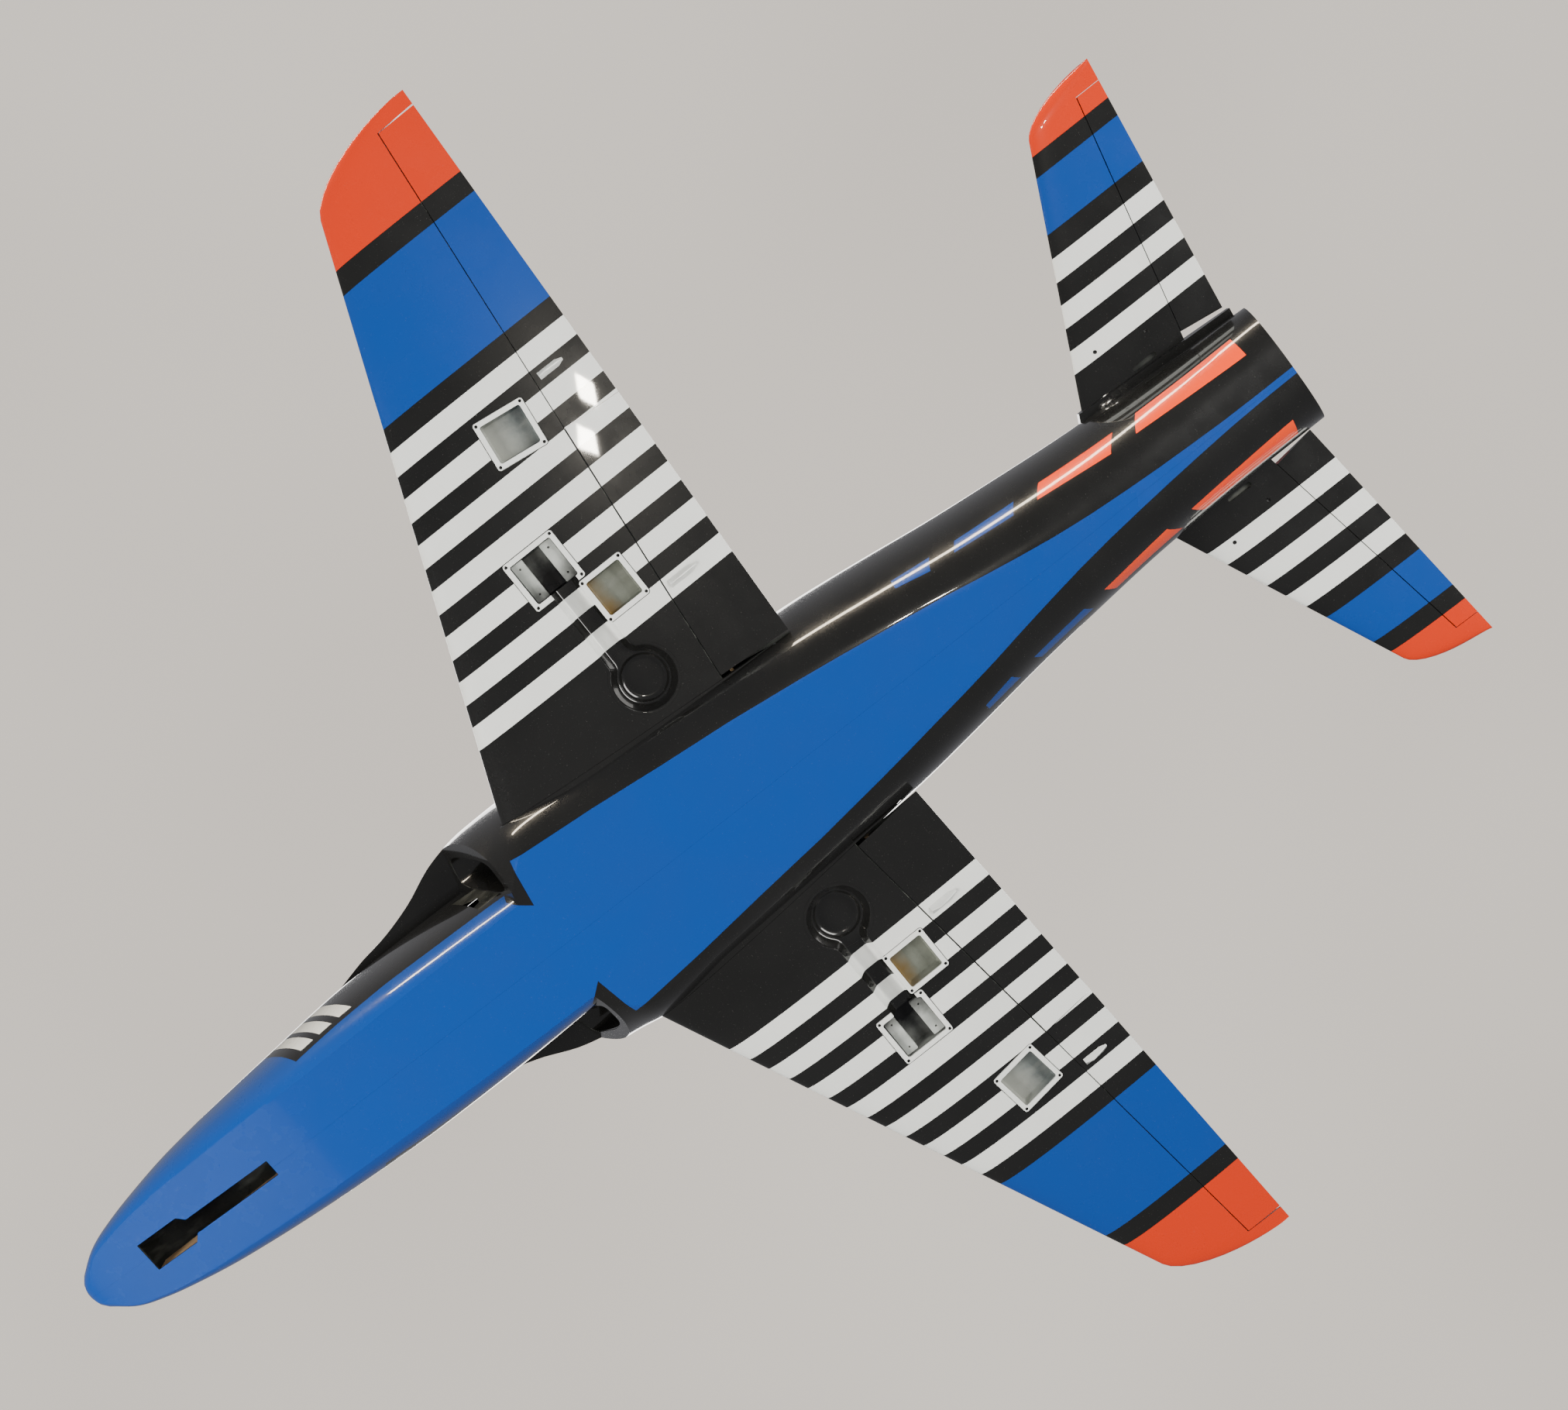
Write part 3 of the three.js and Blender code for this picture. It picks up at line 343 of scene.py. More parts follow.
class Nodes:
    """A material's node tree, with short names for what the materials here use."""

    def __init__(self, name, coat=0.0, coat_roughness=0.03, metallic=0.0):
        self.material = bpy.data.materials.new(name)
        self.material.use_nodes = True
        self.tree = self.material.node_tree
        self.shader = self.tree.nodes["Principled BSDF"]
        self.shader.inputs["Coat Weight"].default_value = coat
        self.shader.inputs["Coat Roughness"].default_value = coat_roughness
        self.shader.inputs["Specular IOR Level"].default_value = 0.2 if coat else 0.5
        self.shader.inputs["Metallic"].default_value = metallic
        place = self.tree.nodes.new("ShaderNodeTexCoord")
        self.place = place.outputs["Object"]
        split = self.tree.nodes.new("ShaderNodeSeparateXYZ")
        self.tree.links.new(self.place, split.inputs[0])
        self.x, self.y, self.z = split.outputs

    def feed(self, socket, value):
        if isinstance(value, bpy.types.NodeSocket):
            self.tree.links.new(value, socket)
        else:
            socket.default_value = value

    def math(self, operation, *values):
        node = self.tree.nodes.new("ShaderNodeMath")
        node.operation = operation
        for socket, value in zip(node.inputs, values):
            self.feed(socket, value)
        return node.outputs[0]

    def less(self, a, b):
        return self.math("LESS_THAN", a, b)

    def more(self, a, b):
        return self.math("GREATER_THAN", a, b)

    def both(self, *masks):
        return reduce(lambda a, b: self.math("MULTIPLY", a, b), masks)

    def either(self, *masks):
        return reduce(lambda a, b: self.math("MAXIMUM", a, b), masks)

    def between(self, value, low, high):
        return self.both(self.more(value, low), self.less(value, high))

    def mix(self, mask, a, b):
        node = self.tree.nodes.new("ShaderNodeMix")
        node.data_type = "RGBA"
        self.feed(node.inputs["Factor"], mask)
        self.feed(node.inputs["A"], a)
        self.feed(node.inputs["B"], b)
        return node.outputs["Result"]

    def noise(self, scale, detail=3.0, roughness=0.5, stretch=None):
        node = self.tree.nodes.new("ShaderNodeTexNoise")
        node.inputs["Scale"].default_value = scale
        node.inputs["Detail"].default_value = detail
        node.inputs["Roughness"].default_value = roughness
        place = self.place
        if stretch:
            mapping = self.tree.nodes.new("ShaderNodeMapping")
            mapping.inputs["Scale"].default_value = stretch
            self.tree.links.new(place, mapping.inputs["Vector"])
            place = mapping.outputs[0]
        self.tree.links.new(place, node.inputs["Vector"])
        return node.outputs["Fac"]

    def ramp(self, value, low, high, start=0.0, end=1.0):
        node = self.tree.nodes.new("ShaderNodeMapRange")
        self.feed(node.inputs["Value"], value)
        node.inputs["From Min"].default_value = low
        node.inputs["From Max"].default_value = high
        node.inputs["To Min"].default_value = start
        node.inputs["To Max"].default_value = end
        return node.outputs[0]

    def curve(self, value, points):
        """A smooth function of a value given by points, such as a paint line's run."""
        xs, ys = [p[0] for p in points], [p[1] for p in points]
        node = self.tree.nodes.new("ShaderNodeFloatCurve")
        low, high, top = min(xs), max(xs), max(ys)
        line = node.mapping.curves[0]
        shares = [((x - low) / (high - low), y / top) for x, y in points]
        line.points[0].location, line.points[1].location = shares[0], shares[-1]
        for share in shares[1:-1]:
            line.points.new(*share)
        for point in line.points:
            point.handle_type = "VECTOR"
        node.mapping.update()
        self.feed(node.inputs["Value"], self.ramp(value, low, high))
        return self.math("MULTIPLY", node.outputs[0], top)

    def bump(self, height, strength, distance):
        node = self.tree.nodes.new("ShaderNodeBump")
        node.inputs["Strength"].default_value = strength
        node.inputs["Distance"].default_value = distance
        self.feed(node.inputs["Height"], height)
        return node.outputs[0]

    def finish(self, colour, roughness, normal, coat_normal=None):
        self.feed(self.shader.inputs["Base Color"], colour)
        self.feed(self.shader.inputs["Roughness"], roughness)
        self.feed(self.shader.inputs["Normal"], normal)
        if coat_normal is not None:
            self.feed(self.shader.inputs["Coat Normal"], coat_normal)
        return self.material

    def millimetres(self):
        """Distance from the centreline, distance aft and height, in design millimetres."""
        x = self.math("MULTIPLY", self.math("ABSOLUTE", self.x), 1 / MM)
        y = self.math("SUBTRACT", self.math("MULTIPLY", self.y, 1 / MM), float(SHIFT[1]))
        z = self.math("SUBTRACT", self.math("MULTIPLY", self.z, 1 / MM), float(SHIFT[2]))
        return x, y, z

    def gloss(self, colour):
        """Sprayed paint under clear coat: a faint mottle, orange peel, dust and polishing haze."""
        mottle = self.ramp(self.noise(9.0, 4.0), 0.35, 0.65, 0.0, 0.10)
        colour = self.mix(mottle, colour, self.mix(0.5, colour, (0.05, 0.05, 0.05, 1)))
        dust = self.ramp(self.noise(900.0, 1.0), 0.72, 0.80, 0.0, 0.12)
        colour = self.mix(dust, colour, (0.45, 0.43, 0.40, 1))
        haze = self.ramp(self.noise(26.0, 5.0, 0.6), 0.3, 0.75, 0.20, 0.34)
        peel = self.bump(self.noise(260.0, 2.0), 0.04, 0.0003)
        wave = self.bump(self.noise(16.0, 2.0), 0.05, 0.0012)
        return self.finish(colour, haze, peel, wave)


def striped_paint(name, paint, axis=0):
    """Orange tip, blue band and white stripes on black, set out along one axis."""
    nodes = Nodes(name, coat=1.0)
    at = nodes.millimetres()[axis]
    turn = nodes.math("DIVIDE", nodes.math("SUBTRACT", paint["first"], at), paint["pitch"])
    share = nodes.less(nodes.math("FRACT", turn), paint["stripe"] / paint["pitch"])
    stripes = nodes.both(share, nodes.between(at, paint["last"], paint["first"]))
    colour = nodes.mix(stripes, BLACK, WHITE)
    colour = nodes.mix(nodes.between(at, *paint["blue"]), colour, BLUE)
    colour = nodes.mix(nodes.more(at, paint["orange"]), colour, ORANGE)
    return nodes.gloss(colour)


def plain_paint(name, colour, coat=1.0):
    """One colour under the same gloss."""
    return Nodes(name, coat=coat).gloss(colour)


# Where the belly's blue panel ends: distance aft, distance from the centreline.
BELLY_EDGE = [
    (0, 108), (63, 102.2), (147, 95.1), (231, 86.0), (315, 77.9), (399, 67.4), (441, 61.6), (483, 55.4),
    (525, 49.3), (567, 42.7), (609, 34.9), (651, 27.7), (693, 21.2), (735, 16.2), (777, 12.5),
    (819, 9.4), (861, 7.0), (903, 5.0), (945, 4.1), (1030, 3.6),
]
# The blue underside's upper edge ahead of the wing: distance aft, height above -35.
SIDE_EDGE = [(-280, 25.5), (-212, 28.5), (-144, 29.5), (-73, 26), (0, 24), (60, 20)]
# The side's black paint starts on a slanted line and three white dashes lie along it: distances
# aft where the slanted lines cross the height of the datum, and heights above that upper edge.
BLACK_SIDE_START = -277.0
DASHES = [(-262.5, -244.5), (-235.5, -217.5), (-207, -189)]
DASH_SLANT = 0.7
DASH_RISE = 8.0
DASH_TOP = 92.0
# The belly panel ends below this height, and the intakes are black outside this distance.
BELLY_TOP = 30.0
INTAKE_BLACK = {"aft_of": -60.0, "outside": 78.5}
# The black corners behind the intakes: fore-and-aft lines through (across, aft) points.
NOTCH_TIP = (52.3, 37.8)
NOTCH_FRONT = (71, 14.7)
NOTCH_REAR = (103.7, 47.2)
# Dashes low on the rear fuselage: corners as (aft, height), round each shape in turn.
SIDE_DASHES = [
    (BLUE, [(534, -7.5), (580, -4.8), (572, -19.3), (533, -17.5)]),
    (BLUE, [(611, -2.8), (684, 0.8), (674, -14), (603, -15.3)]),
    (BRIGHT_ORANGE, [(716, 4.8), (808, 8), (791, -11.9), (703, -13.2)]),
    (BRIGHT_ORANGE, [(839, 12.2), (963, 19.1), (962, -1.7), (824, -8.3)]),
]


def inside_corners(nodes, y, z, corners):
    """Where a place in side view is inside a four-cornered shape, its corners taken clockwise."""
    masks = []
    for (y0, z0), (y1, z1) in zip(corners, corners[1:] + corners[:1]):
        along = nodes.math("MULTIPLY", nodes.math("SUBTRACT", y, y0), z1 - z0)
        up = nodes.math("MULTIPLY", nodes.math("SUBTRACT", z, z0), y1 - y0)
        masks.append(nodes.more(nodes.math("SUBTRACT", along, up), 0.0))
    return nodes.both(*masks)


def past_line(nodes, x, y, start, end):
    """Where a place in plan is aft of the line through two (across, aft) points."""
    slope = (end[1] - start[1]) / (end[0] - start[0])
    line = nodes.math("MULTIPLY", nodes.math("SUBTRACT", x, start[0]), slope)
    return nodes.more(nodes.math("SUBTRACT", y, line), start[1])


def fuselage_paint():
    """Blue nose and tapering belly panel, black sides, white, blue and orange dashes."""
    nodes = Nodes("fuselage_paint", coat=1.0)
    x, y, z = nodes.millimetres()
    behind = past_line(nodes, x, y, NOTCH_TIP, NOTCH_REAR)
    forward = nodes.math("SUBTRACT", 1.0, behind)
    under = nodes.both(nodes.less(x, nodes.curve(y, BELLY_EDGE)), nodes.less(z, BELLY_TOP), behind)
    above = nodes.math("ADD", nodes.curve(y, SIDE_EDGE), -35.0)
    slanted = nodes.math("ADD", y, nodes.math("MULTIPLY", z, DASH_SLANT))
    black_side = nodes.both(nodes.more(z, above), nodes.more(slanted, BLACK_SIDE_START))
    notch = nodes.both(past_line(nodes, x, y, NOTCH_TIP, NOTCH_FRONT), nodes.more(y, NOTCH_FRONT[1]))
    outside = nodes.both(nodes.more(y, INTAKE_BLACK["aft_of"]), nodes.more(x, INTAKE_BLACK["outside"]))
    clear = nodes.math("SUBTRACT", 1.0, nodes.either(black_side, notch, outside))
    colour = nodes.mix(nodes.either(under, nodes.both(forward, clear)), BLACK, BLUE)
    for start, end in DASHES:
        dash = nodes.both(nodes.between(slanted, start, end),
                          nodes.more(z, nodes.math("ADD", above, DASH_RISE)), nodes.less(z, DASH_TOP))
        colour = nodes.mix(dash, colour, WHITE)
    for tint, corners in SIDE_DASHES:
        colour = nodes.mix(inside_corners(nodes, y, z, corners), colour, tint)
    return nodes.gloss(colour)


def hatch_paint():
    """A blue hatch with a dark canopy painted on it, in a white line."""
    nodes = Nodes("hatch_paint", coat=1.0)
    y, z = nodes.millimetres()[1:]
    edge = GLASS["line"]
    sill = nodes.math("ADD", nodes.math("MULTIPLY", y, GLASS["rise"]), GLASS["sill"])
    glass = nodes.both(nodes.more(z, sill), nodes.between(y, GLASS["front"], GLASS["rear"]))
    line = nodes.both(nodes.more(z, nodes.math("SUBTRACT", sill, edge)),
                      nodes.between(y, GLASS["front"] - edge, GLASS["rear"] + edge))
    return nodes.gloss(nodes.mix(glass, nodes.mix(line, BLUE, WHITE), SMOKE))


def bay_lining(name, dark, light, stain_and_painted_light=None, axis=1):
    """Unpainted laminate inside a bay: cloudy, with resin streaks and fibre print-through.

    The tint given for one edge is a colour laid over that edge, from full at its first place to none at its
    second: a stain in the flap bay, painted light in the aileron bay and painted shade in the leg bay.
    """
    nodes = Nodes(name, coat=0.35, coat_roughness=0.15)
    at = nodes.millimetres()[axis]
    cloud = nodes.ramp(nodes.noise(30.0, 5.0, 0.6), 0.32, 0.68)
    colour = nodes.mix(cloud, dark, light)
    streak = nodes.ramp(nodes.noise(60.0, 3.0, 0.5, (1, 0.25, 1)), 0.55, 0.72, 0.0, 0.35)
    colour = nodes.mix(streak, colour, (0.30, 0.31, 0.28, 1))
    # Edge tint: a real stain in the flap bay, painted light in the aileron bay, painted shade in the leg
    # bay.
    if stain_and_painted_light:
        tint, full, none = stain_and_painted_light
        ragged = nodes.math("ADD", at, nodes.ramp(nodes.noise(45.0, 4.0), 0, 1, -14, 14))
        colour = nodes.mix(nodes.ramp(ragged, full, none, 1.0, 0.0), colour, tint)
    rough = nodes.ramp(nodes.noise(70.0, 4.0), 0.3, 0.7, 0.2, 0.55)
    return nodes.finish(colour, rough, nodes.bump(nodes.noise(90.0, 5.0, 0.6), 0.35, 0.0008))


def plywood():
    """Birch ply: long grain, a rotary-cut figure and fine pores."""
    nodes = Nodes("birch_plywood")
    grain = nodes.noise(30.0, 5.0, 0.55, (12, 1, 12))
    colour = nodes.mix(nodes.ramp(grain, 0.3, 0.7), (0.42, 0.26, 0.13, 1), (0.66, 0.47, 0.27, 1))
    pores = nodes.ramp(nodes.noise(420.0, 2.0, 0.5, (8, 0.8, 8)), 0.62, 0.75, 0.0, 0.4)
    colour = nodes.mix(pores, colour, (0.22, 0.12, 0.06, 1))
    return nodes.finish(colour, nodes.ramp(grain, 0.2, 0.8, 0.5, 0.75), nodes.bump(grain, 0.25, 0.0005))


def carbon_tube():
    """Wound carbon: crossing tows that catch the light in turn."""
    nodes = Nodes("wound_carbon", coat=0.6, coat_roughness=0.1)
    along = nodes.math("MULTIPLY", nodes.x, 900.0)
    around = nodes.math("MULTIPLY", nodes.math("ADD", nodes.y, nodes.z), 900.0)
    tow = nodes.math("SINE", nodes.math("ADD", along, around))
    cross = nodes.math("SINE", nodes.math("SUBTRACT", along, around))
    weave = nodes.ramp(nodes.math("MULTIPLY", tow, cross), -0.5, 0.5)
    colour = nodes.mix(weave, (0.006, 0.006, 0.007, 1), (0.035, 0.036, 0.04, 1))
    return nodes.finish(colour, nodes.ramp(weave, 0, 1, 0.25, 0.45), nodes.bump(weave, 0.2, 0.0003))


def drawn_steel():
    """Hinge wire, its colour darkened far below bare steel as painted shade from its seam."""
    nodes = Nodes("drawn_steel", metallic=1.0)
    scratch = nodes.noise(500.0, 3.0, 0.6, (0.05, 1, 1))
    # Painted shade: the steel's colours are near black, standing for the shade in the hinge seam.
    colour = nodes.mix(scratch, (0.035, 0.035, 0.036, 1), (0.10, 0.10, 0.105, 1))
    return nodes.finish(colour, nodes.ramp(scratch, 0.2, 0.8, 0.3, 0.5), nodes.bump(scratch, 0.1, 0.0002))


def rolled_aluminium():
    """A thin sheet pipe: rolling lines and heat tint towards its end."""
    nodes = Nodes("rolled_aluminium", metallic=1.0)
    lines = nodes.noise(300.0, 4.0, 0.6, (1, 0.04, 1))
    colour = nodes.mix(lines, (0.52, 0.52, 0.52, 1), (0.74, 0.74, 0.73, 1))
    tint = nodes.ramp(nodes.y, 0.72, 0.80, 0.0, 0.55)
    colour = nodes.mix(tint, colour, (0.46, 0.37, 0.27, 1))
    return nodes.finish(colour, nodes.ramp(lines, 0.2, 0.8, 0.24, 0.42), nodes.bump(lines, 0.12, 0.0002))


def painted_bearer():
    """Bearers sprayed light grey, darkened towards the wheel wells by painted shade."""
    nodes = Nodes("painted_bearer", coat=0.3, coat_roughness=0.1)
    x = nodes.millimetres()[0]
    cloud = nodes.noise(45.0, 4.0)
    colour = nodes.mix(nodes.ramp(cloud, 0.3, 0.7), (0.26, 0.28, 0.26, 1), (0.44, 0.46, 0.44, 1))
    ragged = nodes.math("ADD", x, nodes.ramp(cloud, 0, 1, -12, 12))
    # Painted shade: the bearers turn near black towards their inboard ends.
    colour = nodes.mix(nodes.ramp(ragged, 291, 312, 0.9, 0.0), colour, (0.02, 0.02, 0.02, 1))
    return nodes.finish(colour, nodes.ramp(cloud, 0.3, 0.7, 0.3, 0.5), nodes.bump(cloud, 0.2, 0.0006))


def black_oxide():
    """Blackened screws, worn bright in places."""
    nodes = Nodes("black_oxide", metallic=1.0)
    wear = nodes.noise(700.0, 2.0)
    colour = nodes.mix(nodes.ramp(wear, 0.4, 0.8), (0.02, 0.02, 0.02, 1), (0.09, 0.09, 0.09, 1))
    return nodes.finish(colour, nodes.ramp(wear, 0.3, 0.7, 0.3, 0.5), nodes.bump(wear, 0.1, 0.0001))


WING_LOOK = striped_paint("wing_paint", WING_PAINT)
STAB_LOOK = striped_paint("stabiliser_paint", STAB_PAINT)
FUSELAGE_LOOK = fuselage_paint()
HATCH_LOOK = hatch_paint()
FIN_LOOK = striped_paint("fin_paint", FIN_PAINT, axis=2)
BLACK_LOOK = plain_paint("black_moulding", BLACK)
WHITE_LOOK = plain_paint("white_frame", WHITE, coat=0.8)
INSIDE_LOOK = bay_lining("bare_inside", (0.012, 0.013, 0.012, 1), (0.035, 0.038, 0.034, 1))
# The aileron bay's lining turns lighter towards its front edge: painted light.
AILERON_BAY_LOOK = bay_lining("grey_lining", (0.055, 0.065, 0.068, 1), (0.16, 0.18, 0.175, 1),
                             ((0.30, 0.31, 0.28, 1), 300, 335))
FLAP_BAY_LOOK = bay_lining("stained_lining", (0.12, 0.13, 0.105, 1), (0.20, 0.215, 0.18, 1),
                           ((0.17, 0.11, 0.035, 1), 283, 303))
# The leg bay's lining turns near black towards its inboard edge: painted shade.
LEG_BAY_LOOK = bay_lining("painted_shade_lining", (0.05, 0.052, 0.05, 1), (0.19, 0.20, 0.19, 1),
                          ((0.006, 0.006, 0.007, 1), 304, 322), axis=0)
BEARER_LOOK = painted_bearer()
PLYWOOD_LOOK = plywood()
CARBON_LOOK = carbon_tube()
STEEL_LOOK = drawn_steel()
ALUMINIUM_LOOK = rolled_aluminium()
SCREW_LOOK = black_oxide()


def show(piece, name, body, nodes=()):
    """Finishes and names a piece, hangs it on the body it rides on and hides the CAD nodes it stands for."""
    finish_mesh(piece)
    piece.name = name
    piece.data.name = name
    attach(piece, body)
    if nodes:
        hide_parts(*nodes)
    return piece


def show_pair(piece, name, node=None, body="root"):
    """Shows a port piece and its mirror image. Bodies that move are named by side."""
    twin = mirrored(piece)
    for side, solid in (("left", piece), ("right", twin)):
        rides = body if body == "root" else f"{body}_{side}"
        stands_for = [f"{node}_{side}"] if node else []
        show(solid, f"{name}_{side}", rides, stands_for)


# Fuselage ----------------------------------------------------


def body_section(table, y, inset, steps):
    """A fuselage section: a flat belly, curves up to the widest height and a superellipse above."""
    half, widest, belly, flat, top = hermite(table, y)
    side, low, crown = half - inset, max(belly, BELLY) + inset, top - inset
    corner = max(min(flat, side - 2), 1)
    fade = min(max((CREASE["end"] - y) / (CREASE["end"] - CREASE["start"]), 0), 1)
    handles = np.array([
        (corner, low),
        (corner + 0.6 * (side - corner), low + CREASE["lift"] * fade * (widest - low)),
        (side, widest - 0.6 * (widest - low)),
        (side, widest),
    ])
    t = np.linspace(0, 1, steps + 1)[:, None]
    lower = ((1 - t) ** 3 * handles[0] + 3 * (1 - t) ** 2 * t * handles[1]
             + 3 * (1 - t) * t**2 * handles[2] + t**3 * handles[3])
    angle = np.linspace(0, math.pi / 2, steps + 1)[1:]
    across = side * np.cos(angle) ** BODY_POWER
    across[-1] = 0
    upper = np.column_stack([across, widest + (crown - widest) * np.sin(angle) ** BODY_POWER])
    outline = np.vstack([lower, upper])
    port = [(x, y, z) for x, z in outline]
    return port + [(-x, y, z) for x, z in outline[-2::-1]]


def stations(table, spacing):
    """Even places along a table of sections, about as far apart as asked."""
    low, high = table[0][0], table[-1][0]
    count = max(round((high - low) / spacing), 2)
    return np.linspace(low, high, count + 1)


def canopy_section(y, inset, steps):
    """A canopy section: a blunt arch standing on the canopy's base height."""
    half, top = hermite(CANOPY, y)
    side, rise = half - inset, top - inset - CANOPY_BASE
    ring = []
    for k in range(steps + 1):
        angle = math.pi * k / steps
        c, s = math.cos(angle), math.sin(angle)
        x = side * math.copysign(abs(c) ** CANOPY_POWER, c)
        ring.append((x, y, CANOPY_BASE + rise * max(s, 0) ** CANOPY_POWER))
    return ring


def before_mouths(lip):
    """The space ahead of the intake mouths and below their shelf, which the rear body is cut by."""
    low, high = -90.0, MOUTH["shelf"] + lip

    def mouth(x, z):
        return MOUTH["y"] + lip + MOUTH["across"] * abs(x) + MOUTH["down"] * z

    return loft([
        [(x, -300, low), (x, mouth(x, low), low), (x, mouth(x, high), high), (x, -300, high)]
        for x in (-220, 0, 220)
    ])


def behind_tail():
    """The space behind the raked tail opening."""
    low, high, aft = -60, 260, 1200
    lower, upper = (TAIL_CUT["y"] + TAIL_CUT["rake"] * z for z in (low, high))
    return loft([[(x, lower, low), (x, aft, low), (x, aft, high), (x, upper, high)] for x in (-200, 200)])


def body_form(inset=0.0, spacing=9.0, steps=18):
    """The fuselage's outer form, or with an inset the space inside its skin."""
    lip = MOUTH["lip"] + inset - WALL if inset > 0 else 0.0
    rear = loft([body_section(REAR_BODY, y, inset, steps) for y in stations(REAR_BODY, spacing)])
    rear = combine(rear, [before_mouths(lip)])
    ahead = [y for y in stations(FOREBODY, spacing * 0.7) if inset == 0 or y > HOLLOW["nose"]]
    if inset == 0:
        ahead = NOSE_TIP + [y for y in ahead if y > NOSE_EVEN]
    nose = loft([body_section(FOREBODY, y, inset, steps) for y in ahead])
    over = [y for y in stations(CANOPY, spacing) if inset == 0 or y > HOLLOW["canopy"]]
    canopy = loft([canopy_section(y, inset, 2 * steps) for y in over])
    return combine(rear, [nose, canopy], "UNION")


def panel_ring(panel, s, grow, steps):
    """A panel's section, from its trailing edge forward on top and back below."""
    ring = [panel.point(s, (1 + math.cos(math.pi * k / steps)) / 2, 1, grow) for k in range(steps + 1)]
    first = 0 if grow else 1
    return ring + [
        panel.point(s, (1 - math.cos(math.pi * k / steps)) / 2, -1, grow)
        for k in range(first, steps + 1)
    ]


def panel_loft(panel, grow=0.0, steps=36, bays=30):
    """A whole panel from inside the fuselage to its raked tip."""
    rake = panel.tip - panel.rake_start
    straight = np.linspace(panel.inner, panel.rake_start, bays + 1)
    angles = [10, 20, 30, 40, 49, 57, 64, 70, 75, 80, 84]
    raked = [panel.rake_start + rake * math.sin(math.radians(a)) for a in angles]
    return loft([panel_ring(panel, s, grow, steps) for s in [*straight, *raked]])


def inboard(root, offset=0.0):
    """Everything inboard of a panel's slanted root face."""
    def edge(y):
        return root["x"] + offset + root["slope"] * (y - root["y"])

    return plan_block([(0, -300), (edge(-300), -300), (edge(1200), 1200), (0, 1200)], -150, 250)


def root_stub(panel, grow):
    """The stub of a panel that belongs to the fuselage."""
    return combine(panel_loft(panel, grow), [inboard(panel.root)], "INTERSECT")


def panel_room(panel):
    """The space that a panel needs, wherever the fuselage would reach into it."""
    return combine(panel_loft(panel, GAP), [inboard(panel.root)])


def duct_ring(t, grow, sides):
    """A duct's section at a share of its way from the four-cornered mouth to a circle."""
    corners = [np.array(c, float) for c in MOUTH_CORNERS]
    middle = sum(corners) / 4
    ease = t * t * (3 - 2 * t)
    ring = []
    for k in range(sides):
        angle = 2 * math.pi * (k + 0.5) / sides
        c, s = math.cos(angle), math.sin(angle)
        u = (1 + math.copysign(abs(c) ** 0.5, c)) / 2
        v = (1 + math.copysign(abs(s) ** 0.5, s)) / 2
        bottom = corners[2] + (corners[1] - corners[2]) * u
        top = corners[3] + (corners[0] - corners[3]) * u
        mouth = bottom + (top - bottom) * v
        out = mouth - middle
        mouth = mouth + grow * out / np.linalg.norm(out)
        radius = DUCT["radius"] + grow
        end = np.array([DUCT["x"] + radius * c, DUCT["z"] + radius * s])
        at = mouth + (end - mouth) * ease
        start = MOUTH["y"] + 0.5 + MOUTH["across"] * mouth[0] + MOUTH["down"] * mouth[1]
        ring.append((at[0], start + (DUCT["end"] - start) * t, at[1]))
    return ring


def duct_form(grow, past=0.0, sides=48, steps=16):
    rings = [duct_ring(k / steps, grow, sides) for k in range(steps + 1)]
    if past:
        rings.insert(0, [(x, y - past, z) for x, y, z in rings[0]])
        rings.append([(x, y + past, z) for x, y, z in rings[-1]])
    return loft(rings)


def hatch_block(grow):
    """The hatch's outline, two half ellipses that meet where it is widest, as a tall block."""
    back, front = HATCH["rear"] - HATCH["rear_taper"], HATCH["front"] + HATCH["front_taper"]
    outline = []
    for k in range(96):
        angle = 2 * math.pi * k / 96
        middle, reach = (back, HATCH["rear_taper"]) if angle <= math.pi else (front, HATCH["front_taper"])
        outline.append(((HATCH["half"] + grow) * math.cos(angle), middle + (reach + grow) * math.sin(angle)))
    return plan_block(outline, CANOPY_BASE - 10, 240)


def nose_well_block():
    """The nose leg's slot and its wider wheel end, through the belly."""
    w = NOSE_WELL
    port = [(w["wide"], w["front"]), (w["wide"], w["step"]), (w["narrow"], w["step"] + 8),
            (w["narrow"], w["rear"])]
    return plan_block(port + [(-x, y) for x, y in reversed(port)], -80, 45)


def make_fuselage():
    """The two shells and the hatch, all cut from one body."""
    shell = coated(body_form(), FUSELAGE_LOOK)
    stubs = [*both(root_stub(WING, 0.0)), *both(root_stub(STAB, 5.0))]
    shell = combine(shell, stubs, "UNION")
    inside = [body_form(WALL, 20.0, 10), nose_well_block(), *both(panel_room(WING)),
              *both(panel_room(STAB)), *both(duct_form(DUCT["wall"] + GAP, 30.0))]
    shell = combine(shell, [*[coated(tool, INSIDE_LOOK) for tool in inside], behind_tail()])
    hatch = combine(copied(shell), [hatch_block(0.0)], "INTERSECT")
    shell = combine(shell, [hatch_block(0.4)])
    port = combine(copied(shell), [box((0.04, -700, -100), (300, 1100, 260))], "INTERSECT")
    starboard = combine(shell, [box((-300, -700, -100), (-0.04, 1100, 260))], "INTERSECT")
    for side, solid in (("left", port), ("right", starboard)):
        show(solid, f"shell_{side}", "root", [f"fuselage_shell_{side}"])
    hatch.data.materials[0] = HATCH_LOOK
    show(hatch, "hatch", "hatch", ["canopy_hatch"])


def make_ducts():
    duct = combine(coated(duct_form(DUCT["wall"]), BLACK_LOOK), [duct_form(0.0, 10.0)])
    show_pair(duct, "duct", "intake_duct")


